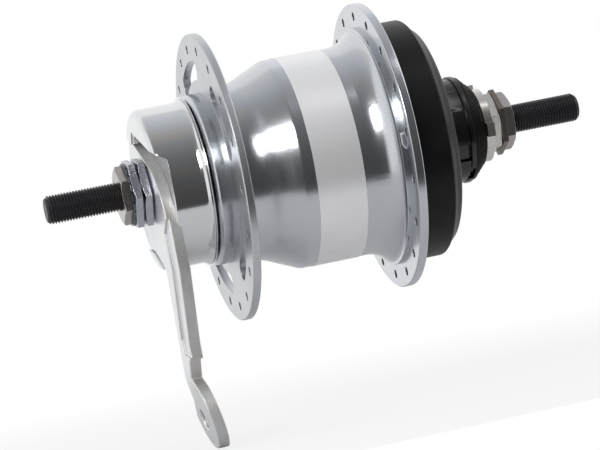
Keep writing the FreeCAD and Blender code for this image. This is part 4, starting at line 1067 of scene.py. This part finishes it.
@dataclass
class BrakeCover:
    """The chromed cover, with its end pressed in where the arm lies. Lengths are in millimetres.

    Attributes:
        finishes: the materials.
        end: where its end face lies along the axle.
        floor: where the pressed part of that face lies.
        back: where it stops, next to the shell.
        radius: its outer radius.
        wall: how thick it is.
        rounding: the radius of its corner.
        corner_steps: the steps in that corner.
        bead_start: where its wall starts to sweep out to the bead.
        bead_sweep: the radius of that sweep.
        bead_turn: how far the sweep turns, in degrees.
        bead_steps: the steps in the sweep.
        bead_groove: the groove before the bead, from the sweep's end, as out and along.
        bead_height: how far the bead stands out.
        bead_rounding: the width of its far edge.
        bead_lip: how the bead's near edge leans, as in and along.
        boss: the radius of the hole in its end.
        upper_edge: the pressed part's upper edge on the end face, as x and z.
        upper_foot: that edge on the pressed floor.
        lower_edge: the pressed part's lower edge.
        tool_depth: how far the pressing form reaches past the floor.
        tool_reach: how far it stands out of the end face.
        edge_angle: edges sharper than this are rounded, in degrees.
        edge_rounding: how far they are rounded over.
        steps: the steps in a turn.
    """

    finishes: Finishes
    end: float = -58.4
    floor: float = -53.8
    back: float = -41.4
    radius: float = 26.8
    wall: float = 1.6
    rounding: float = 2.2
    corner_steps: int = 8
    bead_start: float = -44.7
    bead_sweep: float = 3.4
    bead_turn: float = 42
    bead_steps: int = 6
    bead_groove: Tuple[Point, ...] = ((0.1, 0.06), (0.1, 0.26), (-0.2, 0.32), (-0.2, 0.46))
    bead_height: float = 1.6
    bead_rounding: float = 0.5
    bead_lip: Point = (0.12, 0.14)
    boss: float = 7.05
    upper_edge: Tuple[Point, ...] = ((-32.0, 25.4), (-9.5, 16.3), (-5.5, 20.2), (32.0, 8.7))
    upper_foot: Tuple[Point, ...] = ((-32.0, 25.4), (-9.5, 16.3), (-7.5, 17.6), (32.0, 6.3))
    lower_edge: Tuple[Point, ...] = (
        (32.0, -32.0), (4.5, -32.0), (4.5, -27.0), (-8.0, -20.9), (-17.5, -18.7), (-32.0, -18.7),
    )
    tool_depth: float = 0.05
    tool_reach: float = 1.0
    edge_angle: float = 30.0
    edge_rounding: float = 0.3
    steps: int = 120

    def cup(self) -> bmesh.types.BMesh:
        """Spins the cup from its outline.

        Returns:
            The closed cup in metres.
        """
        line = [(self.boss, self.end)]
        centre = self.radius - self.rounding
        for step in range(self.corner_steps + 1):
            angle = math.radians(step * 90 / self.corner_steps)
            along = self.end + self.rounding * (1 - math.cos(angle))
            line.append((centre + self.rounding * math.sin(angle), along))
        for step in range(self.bead_steps + 1):
            angle = math.radians(step * self.bead_turn / self.bead_steps)
            out = self.radius + self.bead_sweep * (1 - math.cos(angle))
            line.append((out, self.bead_start + self.bead_sweep * math.sin(angle)))
        out, along = line[-1]
        line += [(out + outward, along + onward) for outward, onward in self.bead_groove]
        top, near = self.radius + self.bead_height, self.back - self.bead_rounding
        lean, width = self.bead_lip
        line += [(top - lean, near), (top, near + width), (top - self.bead_rounding, self.back)]
        inside, bottom = self.radius - self.wall, self.floor + self.wall
        line += [(inside, self.back), (inside, bottom), (self.boss, bottom)]
        mesh = bmesh.new()
        verts = [mesh.verts.new((radius * MM, along * MM, 0.0)) for radius, along in line]
        edges = join_up(mesh, verts, True)
        spin(mesh, [*verts, *edges], FULL_TURN, self.steps, use_merge=True)
        bmesh.ops.remove_doubles(mesh, verts=mesh.verts, dist=MERGE_DISTANCE)
        bmesh.ops.recalc_face_normals(mesh, faces=mesh.faces)
        return mesh

    def pressing(self) -> bmesh.types.BMesh:
        """Makes the form that presses the end in, with its sloping upper side.

        Returns:
            The closed form in metres.
        """
        mesh = bmesh.new()
        levels = (
            (self.floor - self.tool_depth, self.upper_foot), (self.end, self.upper_edge),
            (self.end - self.tool_reach, self.upper_edge),
        )
        loops = []
        for along, upper in levels:
            outline = [*upper, *self.lower_edge]
            verts = [mesh.verts.new((x * MM, along * MM, z * MM)) for x, z in outline]
            loops.append(join_up(mesh, verts, True))
        for first, second in zip(loops, loops[1:]):
            bmesh.ops.bridge_loops(mesh, edges=[*first, *second])
        bmesh.ops.holes_fill(mesh, edges=[*loops[0], *loops[-1]], sides=0)
        bmesh.ops.recalc_face_normals(mesh, faces=mesh.faces)
        return mesh

    def pressed(self) -> bmesh.types.BMesh:
        """Presses the end in and rounds the new edges.

        Returns:
            The finished shape.
        """
        parts = []
        for name, mesh in (("cover_cup", self.cup()), ("cover_pressing", self.pressing())):
            parts.append(bpy.data.objects.new(name, mesh_data(name, mesh)))
            bpy.context.scene.collection.objects.link(parts[-1])
        cup, tool = parts
        cut = cup.modifiers.new("pressed_end", "BOOLEAN")
        cut.operation = "DIFFERENCE"
        cut.solver = "EXACT"
        cut.object = tool
        graph = bpy.context.evaluated_depsgraph_get()
        shape = bpy.data.meshes.new_from_object(cup.evaluated_get(graph))
        for made in parts:
            bpy.data.objects.remove(made)
        mesh = bmesh.new()
        mesh.from_mesh(shape)
        join_flat(mesh, 2 * MERGE_DISTANCE)
        round_edges(mesh, sharp_edges(mesh, self.edge_angle), self.edge_rounding)
        return mesh

    def build(self) -> None:
        """Builds the cover."""
        piece = Piece(
            "brake_cover_pressed", "axle_side", "chrome", CHROME, replaces=("brake_cover",),
        )
        piece.place(self.pressed(), self.finishes)


@dataclass
class BallRace:
    """A ring of smooth round balls in place of the faceted ones.

    Attributes:
        finishes: the materials.
        node: the CAD node of the faceted balls.
        body: the body that they move with.
        count: how many balls there are.
        columns: the faces round a ball.
        rows: the faces from pole to pole.
        sharp_angle: edges that are sharper than this stay crisp, in degrees.
    """

    finishes: Finishes
    node: str
    body: str
    count: int = 12
    columns: int = 24
    rows: int = 16
    sharp_angle: float = 60.0

    def build(self) -> None:
        """Builds the ring of balls where the CAD ones lie."""
        low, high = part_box(self.node)
        radius = (high.y - low.y) / 2
        circle = high.z - radius
        mesh = bmesh.new()
        bmesh.ops.create_uvsphere(
            mesh, u_segments=self.columns, v_segments=self.rows, radius=radius,
        )
        bmesh.ops.translate(mesh, vec=(0, (low.y + high.y) / 2, circle), verts=mesh.verts)
        ball = [*mesh.verts, *mesh.edges, *mesh.faces]
        spin(mesh, ball, FULL_TURN, self.count, use_duplicate=True)
        bmesh.ops.remove_doubles(mesh, verts=mesh.verts, dist=MERGE_DISTANCE)
        piece = Piece(
            f"{self.node}_round", self.body, "bearing_steel", BEARING_STEEL,
            sharp_angle=self.sharp_angle, even_normals=False, replaces=(self.node,),
        )
        piece.place(mesh, self.finishes)


def dress_nodes(finishes: Finishes, slots: Dict[str, str]) -> None:
    """Puts the finish of its slot on each CAD node.

    Args:
        finishes: the materials.
        slots: the record's material slot of each node.
    """
    for name, node in frame["nodes"].items():
        node.data.materials.clear()
        node.data.materials.append(finishes.of(SLOT_FINISHES[slots[name]]))


def main() -> None:
    """Builds the scene in order and reports each piece."""
    logging.basicConfig(level=logging.INFO, format="%(name)s: %(message)s")
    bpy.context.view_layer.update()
    slots = {row["node"]: row["material_slot"] for row in frame["record"]["subparts"]}
    finishes = Finishes()
    Studio().build()
    log.info("studio is ready")
    dress_nodes(finishes, slots)
    log.info("dressed %d nodes", len(frame["nodes"]))
    AxleEnds(finishes).build()
    RefinedGroup("axle_side", finishes, NUTS_AND_BRAKE).build(slots)
    BrakeCover(finishes).build()
    RefinedGroup("shell", finishes, SHELL_PIECES).build(slots)
    RefinedGroup("driver", finishes, DRIVER_PIECES).build(slots)
    BallRace(finishes, "left_balls", "left_bearing").build()
    BallRace(finishes, "right_balls", "right_bearing").build()


if __name__ == "__main__":
    main()
